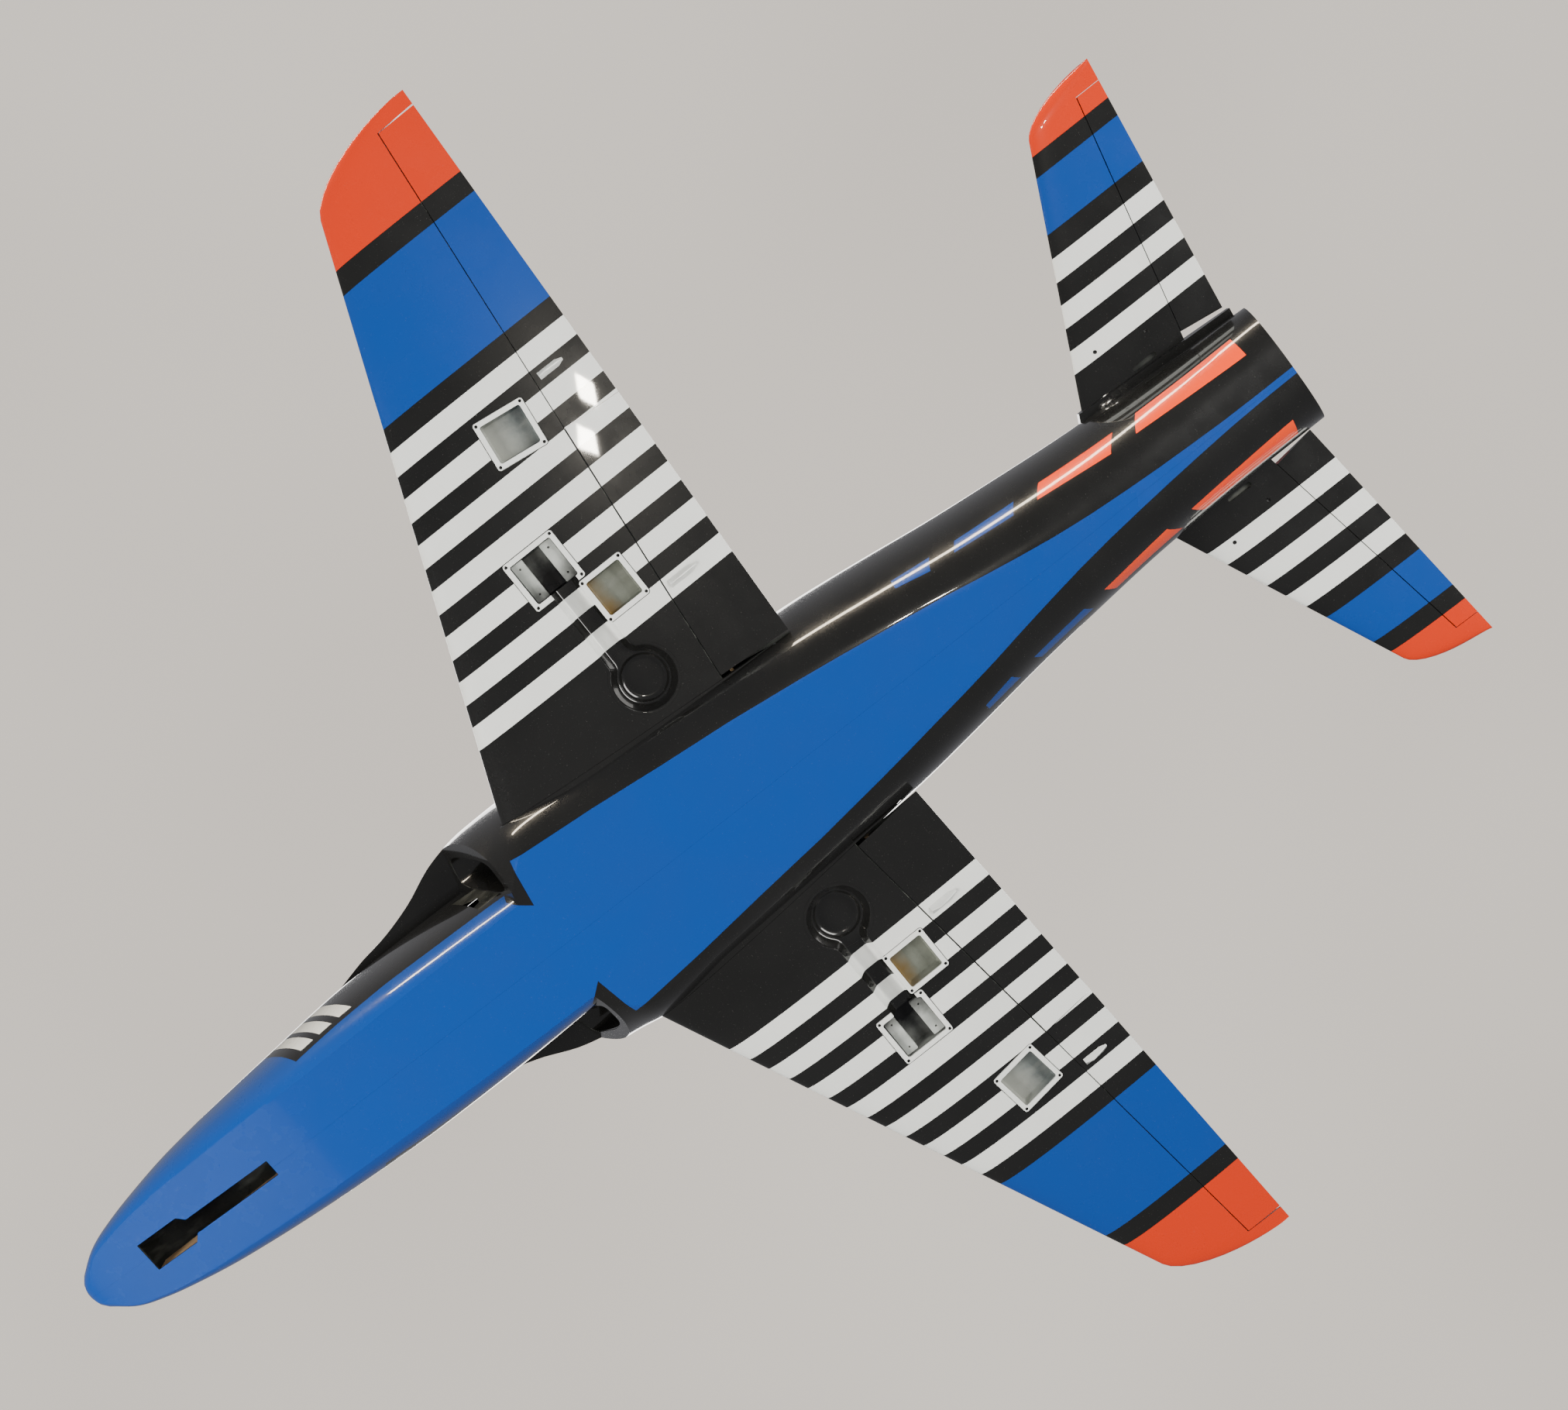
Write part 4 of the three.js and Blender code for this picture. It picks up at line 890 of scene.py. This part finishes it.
def tapered_pipe(grow, past=0.0, sides=72):
    ends = ((PIPE["start"] - past, PIPE["z_front"], PIPE["front"]),
            (PIPE["end"] + past, PIPE["z_rear"], PIPE["rear"]))
    return loft([[(x, y, z + up) for x, up in circle(radius + grow, sides)] for y, z, radius in ends])


def make_pipe():
    pipe = combine(coated(tapered_pipe(0.0), ALUMINIUM_LOOK), [tapered_pipe(-PIPE["wall"], 5.0)])
    show(pipe, "tail_pipe", "root", ["exhaust_pipe"])


# Control surfaces --------------------------------------------


def wire_point(panel, s):
    """A place on the straight hinge wire just inside a panel's lower skin."""
    y = panel.hinge(s)
    return np.array([s, y, panel.skin(s, y, -1) + HINGE_DEPTH])


def hinge_sector(panel, line, places, grow, start, end, foot):
    """A sector round a straight hinge wire, from straight up towards the nose."""
    steps = 12
    first, last = line
    rings = []
    for s in places:
        centre = first + (last - first) * (s - first[0]) / (last[0] - first[0])
        reach = panel.skin(s, centre[1], 1) - centre[2] + grow
        arc = []
        for k in range(steps + 1):
            angle = math.radians(start + (end - start) * k / steps)
            arc.append((-reach * math.sin(angle), reach * math.cos(angle)))
        drop = -HINGE_DEPTH - 2
        base = [(-0.3, 0), (-foot, drop), (0.3, drop)] if foot > 0 else [(0, 0)]
        rings.append([(s, centre[1] + y, centre[2] + z) for y, z in arc + base])
    return loft(rings)


def hinge_outline(panel, part, inner, inner_trail, gap, face, swing):
    """The block behind a hinge line between a surface's ends, drawn in by a gap at each end."""
    outer, trail = part["outer"], part["outer_trail"]
    return plan_block([
        (inner + gap, panel.hinge(inner) + face),
        (outer - gap, panel.hinge(outer) + face),
        (trail - gap - swing, panel.trail(outer) + 20),
        (inner_trail + gap, panel.trail(part["inner"]) + 20),
    ], -80, 250)


def places_between(panel, start, end):
    """Even places along the span, with one more where the tip's rake starts."""
    places = list(np.linspace(start, end, 11))
    if start < panel.rake_start < end:
        places = sorted([*places, panel.rake_start])
    return places


def cut_surface(panel, solid, part):
    """Cuts one bottom-hinged surface out of a panel: gives the panel without it, and the surface."""
    inner, outer = part["inner"], part["outer"]
    start = part.get("notch", inner)
    start_trail = part.get("notch", part["inner_trail"])
    foot = HINGE_DEPTH * math.tan(math.radians(part["down"])) + ROUND["lip"]
    line = (wire_point(panel, inner), wire_point(panel, outer))
    first, swing = ROUND["start"], part["down"]
    nose_end, cove_end = swing + ROUND["nose_past"], swing + part["up"] + ROUND["cove_past"]
    surface = combine(copied(solid), [
        hinge_outline(panel, part, inner, part["inner_trail"], END_GAP, 0.3, part["swing"])], "INTERSECT")
    within = places_between(panel, inner + END_GAP, outer - END_GAP)
    nose = hinge_sector(panel, line, within, -ROUND["shy"], first, nose_end, 0)
    surface = combine(surface, [nose], "UNION")
    room = places_between(panel, start, outer)
    cuts = [
        hinge_outline(panel, part, start, start_trail, 0, -0.3, 0),
        hinge_sector(panel, line, room, ROUND["gap"], first, cove_end, foot),
    ]
    return combine(solid, [coated(cut, INSIDE_LOOK) for cut in cuts]), surface


# Wings -------------------------------------------------------


def skin_seat(s, y, slope=0.0):
    """Axes on the wing's lower skin: x outboard, leaning aft by a slope, y aft, z into the wing."""
    def point(x, aft):
        return Vector((x, aft, WING.skin(x, aft, -1)))

    origin = point(s, y)
    along = (point(s + 5, y + 5 * slope) - origin).normalized()
    inward = along.cross(point(s, y + 5) - origin).normalized()
    aft = inward.cross(along)
    seat = Matrix((along, aft, inward)).transposed().to_4x4()
    seat.translation = origin
    return seat


def bay_seat(bay):
    return skin_seat(bay["s"], bay["y"], bay.get("slope", 0.0))


def bay_recess(bay):
    """The shallow seat that a bay's frame is let into."""
    edge = 0.7
    outline = round_rectangle(bay["span"] + 2 * edge, bay["chord"] + 2 * edge, FRAME["corner"] + edge)
    return seated(bay_seat(bay), [(outline, -5), (outline, FRAME["thick"] - FRAME["proud"] + GAP)])


def bay_pocket(bay):
    """The bay itself, a little narrower at its floor."""
    rim = FRAME["rim"]
    wide = round_rectangle(bay["span"] - 2 * rim, bay["chord"] - 2 * rim, 3)
    narrow = round_rectangle(bay["span"] - 2 * rim - 4, bay["chord"] - 2 * rim - 4, 3)
    return seated(bay_seat(bay), [(wide, -5), (wide, bay["depth"] - 4), (narrow, bay["depth"])])


def keyhole(radius, half, end, fillet):
    """A circle with a neck leading outboard, its inner corners rounded, in a well's own plane."""
    offset = TROUGH["offset"]
    corners = []
    for side in (-1, 1):
        level = offset + side * (half + fillet)
        reach = math.sqrt((radius + fillet) ** 2 - level**2)
        start, stop = -side * math.pi / 2, math.atan2(level, reach) + math.pi
        sweep = (stop - start + math.pi) % (2 * math.pi) - math.pi
        corners.append([(reach + fillet * math.cos(start + sweep * k / 8),
                         level + fillet * math.sin(start + sweep * k / 8)) for k in range(9)])
    front, rear = corners
    first = math.atan2(front[-1][1], front[-1][0])
    sweep = math.atan2(rear[-1][1], rear[-1][0]) - first - 2 * math.pi
    bowl = [(radius * math.cos(first + sweep * k / 72), radius * math.sin(first + sweep * k / 72))
            for k in range(1, 72)]
    return [(end, offset - half), *front, *bowl, *rear[::-1], (end, offset + half)]


def leg_room():
    """The space for the folded leg and wheel: a keyhole with rounded lips and a round, deeper well."""
    well = WHEEL_WELL
    end = TROUGH["end"] - well["s"]
    half, slant = TROUGH["width"] / 2, (TROUGH["width"] - TROUGH["floor"]) / 2
    lips = [(2.6, -5), (2.6, 0), (1.5, 0.3), (0.6, 1.1), (0.0, 2.6)]
    walls = [(-0.55 * slant, 8.0), (-slant, 11.6), (-slant - 1.2, 12.6), (-slant - 3.0, 13.0)]
    outlines = [(keyhole(well["radius"] + grow, half + grow, end, 11 - grow), z) for grow, z in lips + walls]
    deep = [(0.0, 9.0), (-0.6, 12.0), (-2.2, 15.5), (-5.0, 17.5), (-8.5, 18.0)]
    floor = [(circle(well["floor"] + grow, 96), z) for grow, z in deep]
    seat = bay_seat(well)
    return combine(seated(seat, outlines), [seated(seat, floor)], "UNION")


def well_disc(radius):
    """A disc through the skin round the wheel well, as deep as its cup."""
    outline = circle(radius, 96)
    return seated(bay_seat(WHEEL_WELL), [(outline, -5), (outline, WHEEL_WELL["depth"] + 0.4)])


def screw_places(bay):
    """The four corner holes of a bay's frame, in its own plane."""
    x, y = bay["span"] / 2 - FRAME["screw"], bay["chord"] / 2 - FRAME["screw"]
    return [(sx * x, sy * y) for sx in (1, -1) for sy in (1, -1)]


def make_frame(bay, opened):
    """A screwed flange round a bay, with eased edges and a countersunk hole at each corner."""
    seat = bay_seat(bay)
    proud, thick, rim, corner = FRAME["proud"], FRAME["thick"], FRAME["rim"], FRAME["corner"]
    ease = 0.35
    outlines = [
        (round_rectangle(bay["span"] - 2 * ease, bay["chord"] - 2 * ease, corner - ease), -proud),
        (round_rectangle(bay["span"], bay["chord"], corner), -proud + ease),
        (round_rectangle(bay["span"], bay["chord"], corner), thick - proud),
    ]
    hole = round_rectangle(bay["span"] - 2 * rim, bay["chord"] - 2 * rim, 2.5)
    cutters = [seated(seat, [(hole, -3), (hole, 4)])]
    countersink = [(2.1, -3), (2.1, -proud), (1.3, -proud + 0.8), (1.3, 4)]
    for x, y in screw_places(bay):
        cutters.append(seated(seat, [([(x + p, y + q) for p, q in circle(r, 20)], z)
                                     for r, z in countersink]))
    if opened:
        cutters.append(leg_room())
    return combine(coated(seated(seat, outlines), WHITE_LOOK), cutters)


def make_screws(bay):
    """A socket screw in each corner hole of a frame."""
    seats = [bay_seat(bay) @ Matrix.Translation((x, y, 0)) for x, y in screw_places(bay)]
    profile = [(0.001, 0.9), (0.62, 0.9), (0.62, -0.15), (1.55, -0.30), (1.75, -0.05), (1.15, 0.75),
               (1.15, 1.4), (0.001, 1.4)]
    return coated(turned(seats, profile, 18), SCREW_LOOK)


def make_rail(end):
    """A bearer across the retract bay, with eased edges and two pilot holes."""
    span = RETRACT_BAY["span"] - 2 * (FRAME["rim"] + 0.6)
    middle = end * ((RETRACT_BAY["chord"] - 14.4) / 2 - FRAME["rim"] - 0.4)
    seat = bay_seat(RETRACT_BAY)
    low = FRAME["thick"] + 3
    rows = [(span - 1, 13.4, low), (span, 14.4, low + 0.5), (span, 14.4, low + 5)]
    rail = coated(seated(seat, [([(x, y + middle) for x, y in round_rectangle(a, b, 1.2)], z)
                                for a, b, z in rows]), BEARER_LOOK)
    holes = [seated(seat, [([(x + p, middle + q) for p, q in circle(1.2, 16)], z)
                           for z in (low - 2, low + 4)]) for x in (-16, 16)]
    return combine(rail, holes)


def make_horn_fairing(horn):
    """A sharp-ridged wedge over a control horn, its low end last."""
    seat = skin_seat(horn["s"], WING.hinge(horn["s"]) + 6)
    rings = []
    for t, wide, tall in ((0, 1, 0.25), (0.3, 1, 1), (0.75, 1, 0.5), (1, 0.35, 0.1)):
        half = horn["width"] / 2 * wide
        lift = 0.4 + horn["length"] * t * 0.03
        rings.append([tuple(seat @ Vector((half * a, t * horn["length"], -lift - horn["height"] * tall * b)))
                      for a, b in ((-1, 0), (-0.2, 0.93), (-0.08, 1), (0.08, 1), (0.2, 0.93), (1, 0))])
    return coated(loft(rings), WHITE_LOOK)


def make_wings():
    """The wing, its control surfaces, bays, wheel cup, frames, screws, rails and horn fairings."""
    wing = combine(coated(panel_loft(WING, bays=56), WING_LOOK), [inboard(WING.root, GAP)])
    wing, aileron = cut_surface(WING, wing, AILERON)
    wing, flap = cut_surface(WING, wing, FLAP)
    bays = (
        (AILERON_BAY, AILERON_BAY_LOOK, "aileron", "aileron_bay_frame"),
        (FLAP_BAY, FLAP_BAY_LOOK, "flap", "flap_bay_frame"),
        (RETRACT_BAY, LEG_BAY_LOOK, "leg", "retract_frame"),
    )
    cup = combine(copied(wing), [well_disc(38.0)], "INTERSECT")
    wing = combine(wing, [
        *[coated(bay_recess(bay), INSIDE_LOOK) for bay, look, name, node in bays],
        coated(well_disc(38.1), INSIDE_LOOK), leg_room(),
        *[coated(bay_pocket(bay), look) for bay, look, name, node in bays],
    ])
    show_pair(combine(cup, [leg_room()]), "well_cup", "wheel_well_cup")
    show_pair(wing, "wing_skin", "wing")
    show_pair(aileron, "aileron_skin", "aileron", "aileron")
    show_pair(flap, "flap_skin", "flap", "flap")
    for bay, look, name, node in bays:
        show_pair(make_frame(bay, bay is RETRACT_BAY), f"{name}_frame", node)
    for bay, look, name, node in bays:
        show_pair(make_screws(bay), f"{name}_frame_screws")
    for end, name in ((-1, "front"), (1, "rear")):
        show_pair(make_rail(end), f"rail_{name}", f"retract_rail_{name}")
    for horn, name in ((AILERON_HORN, "aileron"), (FLAP_HORN, "flap")):
        show_pair(make_horn_fairing(horn), f"{name}_wedge", f"{name}_horn_fairing", name)


# Tail --------------------------------------------------------


def tail_screw_seats():
    return [Matrix.Translation((s, y, STAB.skin(s, y, -1))) for s, y in STAB_SCREWS]


def make_tail_screws():
    """Two small screw heads under each stabiliser that hold its tubes."""
    profile = [(0.01, 0.7), (0.8, 0.7), (0.8, 0.0), (1.9, -0.15), (2.1, 0.05), (2.1, 1.5), (0.01, 1.5)]
    return coated(turned(tail_screw_seats(), profile, 16), SCREW_LOOK)


def make_tail():
    """The stabiliser with its slot and screws, and the elevator."""
    stab = combine(coated(panel_loft(STAB, bays=30), STAB_LOOK), [inboard(STAB.root, GAP)])
    stab, elevator = cut_surface(STAB, stab, ELEVATOR)
    slot = STAB_SLOT
    low = STAB.skin(slot["s"], slot["y"], -1)
    hole = [(slot["s"] + x, slot["y"] + y)
            for x, y in round_rectangle(slot["width"], slot["length"], slot["width"] / 2 - 0.01, 8)]
    wells = [seated(seat, [(circle(2.3, 24), -3), (circle(2.3, 24), 1.2)]) for seat in tail_screw_seats()]
    stab = combine(stab, [coated(plan_block(hole, low - 5, low + slot["depth"]), INSIDE_LOOK), *wells])
    show_pair(stab, "stabiliser_skin", "stabiliser")
    show_pair(elevator, "elevator_skin", "elevator", "elevator")
    show_pair(make_tail_screws(), "tail_screws")


def rudder_nose(low, high, grow):
    """The round nose that the rudder turns on, as thick as the fin."""
    steps, rings = 24, []
    for s in (low, high):
        lead, chord = FIN.chord_line(s)
        radius = FIN.half_thickness(s, (FIN.hinge(s) - lead) / chord) + grow
        rings.append([(s, FIN.hinge(s) - radius * math.sin(math.pi * k / steps),
                       radius * math.cos(math.pi * k / steps)) for k in range(steps + 1)])
    return loft(rings)


def stood_up(solid):
    """Turns a panel built flat into the upright fin: its span becomes height."""
    for vertex in solid.data.vertices:
        x, y, z = np.array(vertex.co) / MM - SHIFT
        vertex.co = (np.array([-z, y, x]) + SHIFT) * MM
    return solid


def make_fin():
    """The fin and rudder, built flat, then stood up and fitted to the fuselage."""
    inner, outer, gap = RUDDER["inner"], RUDDER["outer"], RUDDER["gap"]

    def outline(low, high, face):
        return plan_block([(low, FIN.hinge(low) + face), (high, FIN.hinge(high) + face),
                           (high, 1100), (low, 1100)], -30, 30)

    full = coated(panel_loft(FIN, bays=24), FIN_LOOK)
    rudder = combine(copied(full), [outline(inner + gap, outer - gap, -0.01)], "INTERSECT")
    rudder = combine(rudder, [rudder_nose(inner + gap, outer - gap, -0.05)], "UNION")
    fin = combine(full, [outline(inner, outer, -4), rudder_nose(inner, outer, 0.7)])
    fin = combine(stood_up(fin), [body_form(-GAP, 12.0, 14)])
    show(fin, "fin_skin", "root", ["fin"])
    show(stood_up(rudder), "rudder_skin", "rudder", ["rudder"])


# Carried-over CAD pieces -------------------------------------

SLOT_LOOKS = {
    "painted_skin": BLACK_LOOK, "hatch_paint": HATCH_LOOK, "black_moulding": BLACK_LOOK,
    "frame_plastic": WHITE_LOOK, "bay_bearer": BEARER_LOOK, "plywood": PLYWOOD_LOOK,
    "carbon_tube": CARBON_LOOK, "steel_wire": STEEL_LOOK, "aluminium_pipe": ALUMINIUM_LOOK,
}


def dress_cad_nodes():
    """Gives each CAD node that stays visible the look of its slot."""
    for part in frame["record"]["subparts"]:
        node = frame["nodes"][part["node"]]
        for slot in node.material_slots:
            slot.material = SLOT_LOOKS[part["material_slot"]]


# Camera, light and floor -------------------------------------

# The camera looks up at the airframe's underside. Its axes are in the CAD frame.
CAMERA_RIGHT = Vector((-0.61546, 0.78629, -0.05444))
CAMERA_UP = Vector((0.77062, 0.61482, 0.16776))
CAMERA_AT = Vector((0.3801, 0.2988, -1.9247))
LENS = 43.88
SENSOR = 36.0
# Area lights: name, place, width and height, power, colour. All face the middle of the airframe.
LIGHTS = [
    ("nose_box", (0.3, -2.6, -2.0), (2.6, 1.4), 190, (1.0, 0.97, 0.92)),
    ("tail_box", (0.3, 2.8, -1.9), (2.6, 1.4), 160, (1.0, 0.98, 0.94)),
    ("strip", (2.0, 0.2, 0.36), (2.6, 0.16), 60, (1.0, 0.86, 0.66)),
    ("top", (-0.4, -0.4, 2.9), (2.4, 2.4), 80, (1.0, 0.98, 0.95)),
    ("lamp", (0.56, 0.50, -2.15), (0.06, 0.06), 2.5, (1.0, 0.93, 0.80)),
    ("lamp", (0.64, 0.62, -2.15), (0.06, 0.06), 2.5, (1.0, 0.93, 0.80)),
]
LIT_POINT = Vector((0, 0, 0.05))


def make_camera():
    data = bpy.data.cameras.new("camera")
    data.lens, data.sensor_width, data.sensor_fit = LENS, SENSOR, "HORIZONTAL"
    camera = bpy.data.objects.new("camera", data)
    bpy.context.scene.collection.objects.link(camera)
    right = CAMERA_RIGHT.normalized()
    up = (CAMERA_UP - right * CAMERA_UP.dot(right)).normalized()
    turn = Matrix((right, up, right.cross(up))).transposed().to_4x4()
    camera.matrix_world = Matrix.Translation(CAMERA_AT) @ turn
    bpy.context.scene.camera = camera


def make_world():
    """Dim even light for the reflections, pale to look at directly."""
    world = bpy.data.worlds.new("studio")
    bpy.context.scene.world = world
    world.use_nodes = True
    tree = world.node_tree
    dim = tree.nodes["Background"]
    dim.inputs["Color"].default_value = (0.95, 0.95, 1.0, 1)
    dim.inputs["Strength"].default_value = 0.22
    ray = tree.nodes.new("ShaderNodeLightPath")
    pale = tree.nodes.new("ShaderNodeBackground")
    pale.inputs["Color"].default_value = (1.0, 0.92, 0.82, 1)
    mix = tree.nodes.new("ShaderNodeMixShader")
    tree.links.new(ray.outputs["Is Camera Ray"], mix.inputs[0])
    tree.links.new(dim.outputs[0], mix.inputs[1])
    tree.links.new(pale.outputs[0], mix.inputs[2])
    tree.links.new(mix.outputs[0], tree.nodes["World Output"].inputs[0])


def make_stage():
    """A pale floor far below and a sheet far above, behind the airframe as it is seen."""
    nodes = Nodes("pale_sheet")
    cloud = nodes.ramp(nodes.noise(0.35, 2.0), 0.3, 0.7)
    colour = nodes.mix(cloud, (0.66, 0.60, 0.53, 1), (0.78, 0.72, 0.64, 1))
    nodes.feed(nodes.shader.inputs["Emission Color"], colour)
    nodes.shader.inputs["Emission Strength"].default_value = 1.25
    look = nodes.finish((0.1, 0.1, 0.1, 1), 0.9, nodes.bump(nodes.noise(3.0, 3.0), 0.1, 0.01))
    for name, z in (("floor", -3.6), ("sheet", 4.0)):
        mesh = bpy.data.meshes.new(name)
        mesh.from_pydata([(-30, -30, z), (30, -30, z), (30, 30, z), (-30, 30, z)], [], [(0, 1, 2, 3)])
        plane = bpy.data.objects.new(name, mesh)
        bpy.context.scene.collection.objects.link(plane)
        mesh.materials.append(look)
        plane.visible_diffuse = plane.visible_glossy = plane.visible_shadow = False


def make_lights():
    """Two broad softboxes off the nose and tail, a strip to port and lamps beside the camera."""
    for name, place, size, power, colour in LIGHTS:
        data = bpy.data.lights.new(name, "AREA")
        data.shape, data.size, data.size_y = "RECTANGLE", *size
        data.energy, data.color = power, colour
        light = bpy.data.objects.new(name, data)
        bpy.context.scene.collection.objects.link(light)
        light.location = place
        light.rotation_mode = "QUATERNION"
        light.rotation_quaternion = (LIT_POINT - Vector(place)).to_track_quat("-Z", "Y")
        light.visible_glossy = name != "nose_box"


make_camera()
make_world()
make_stage()
make_lights()
make_fuselage()
make_ducts()
make_pipe()
make_wings()
make_tail()
make_fin()
dress_cad_nodes()
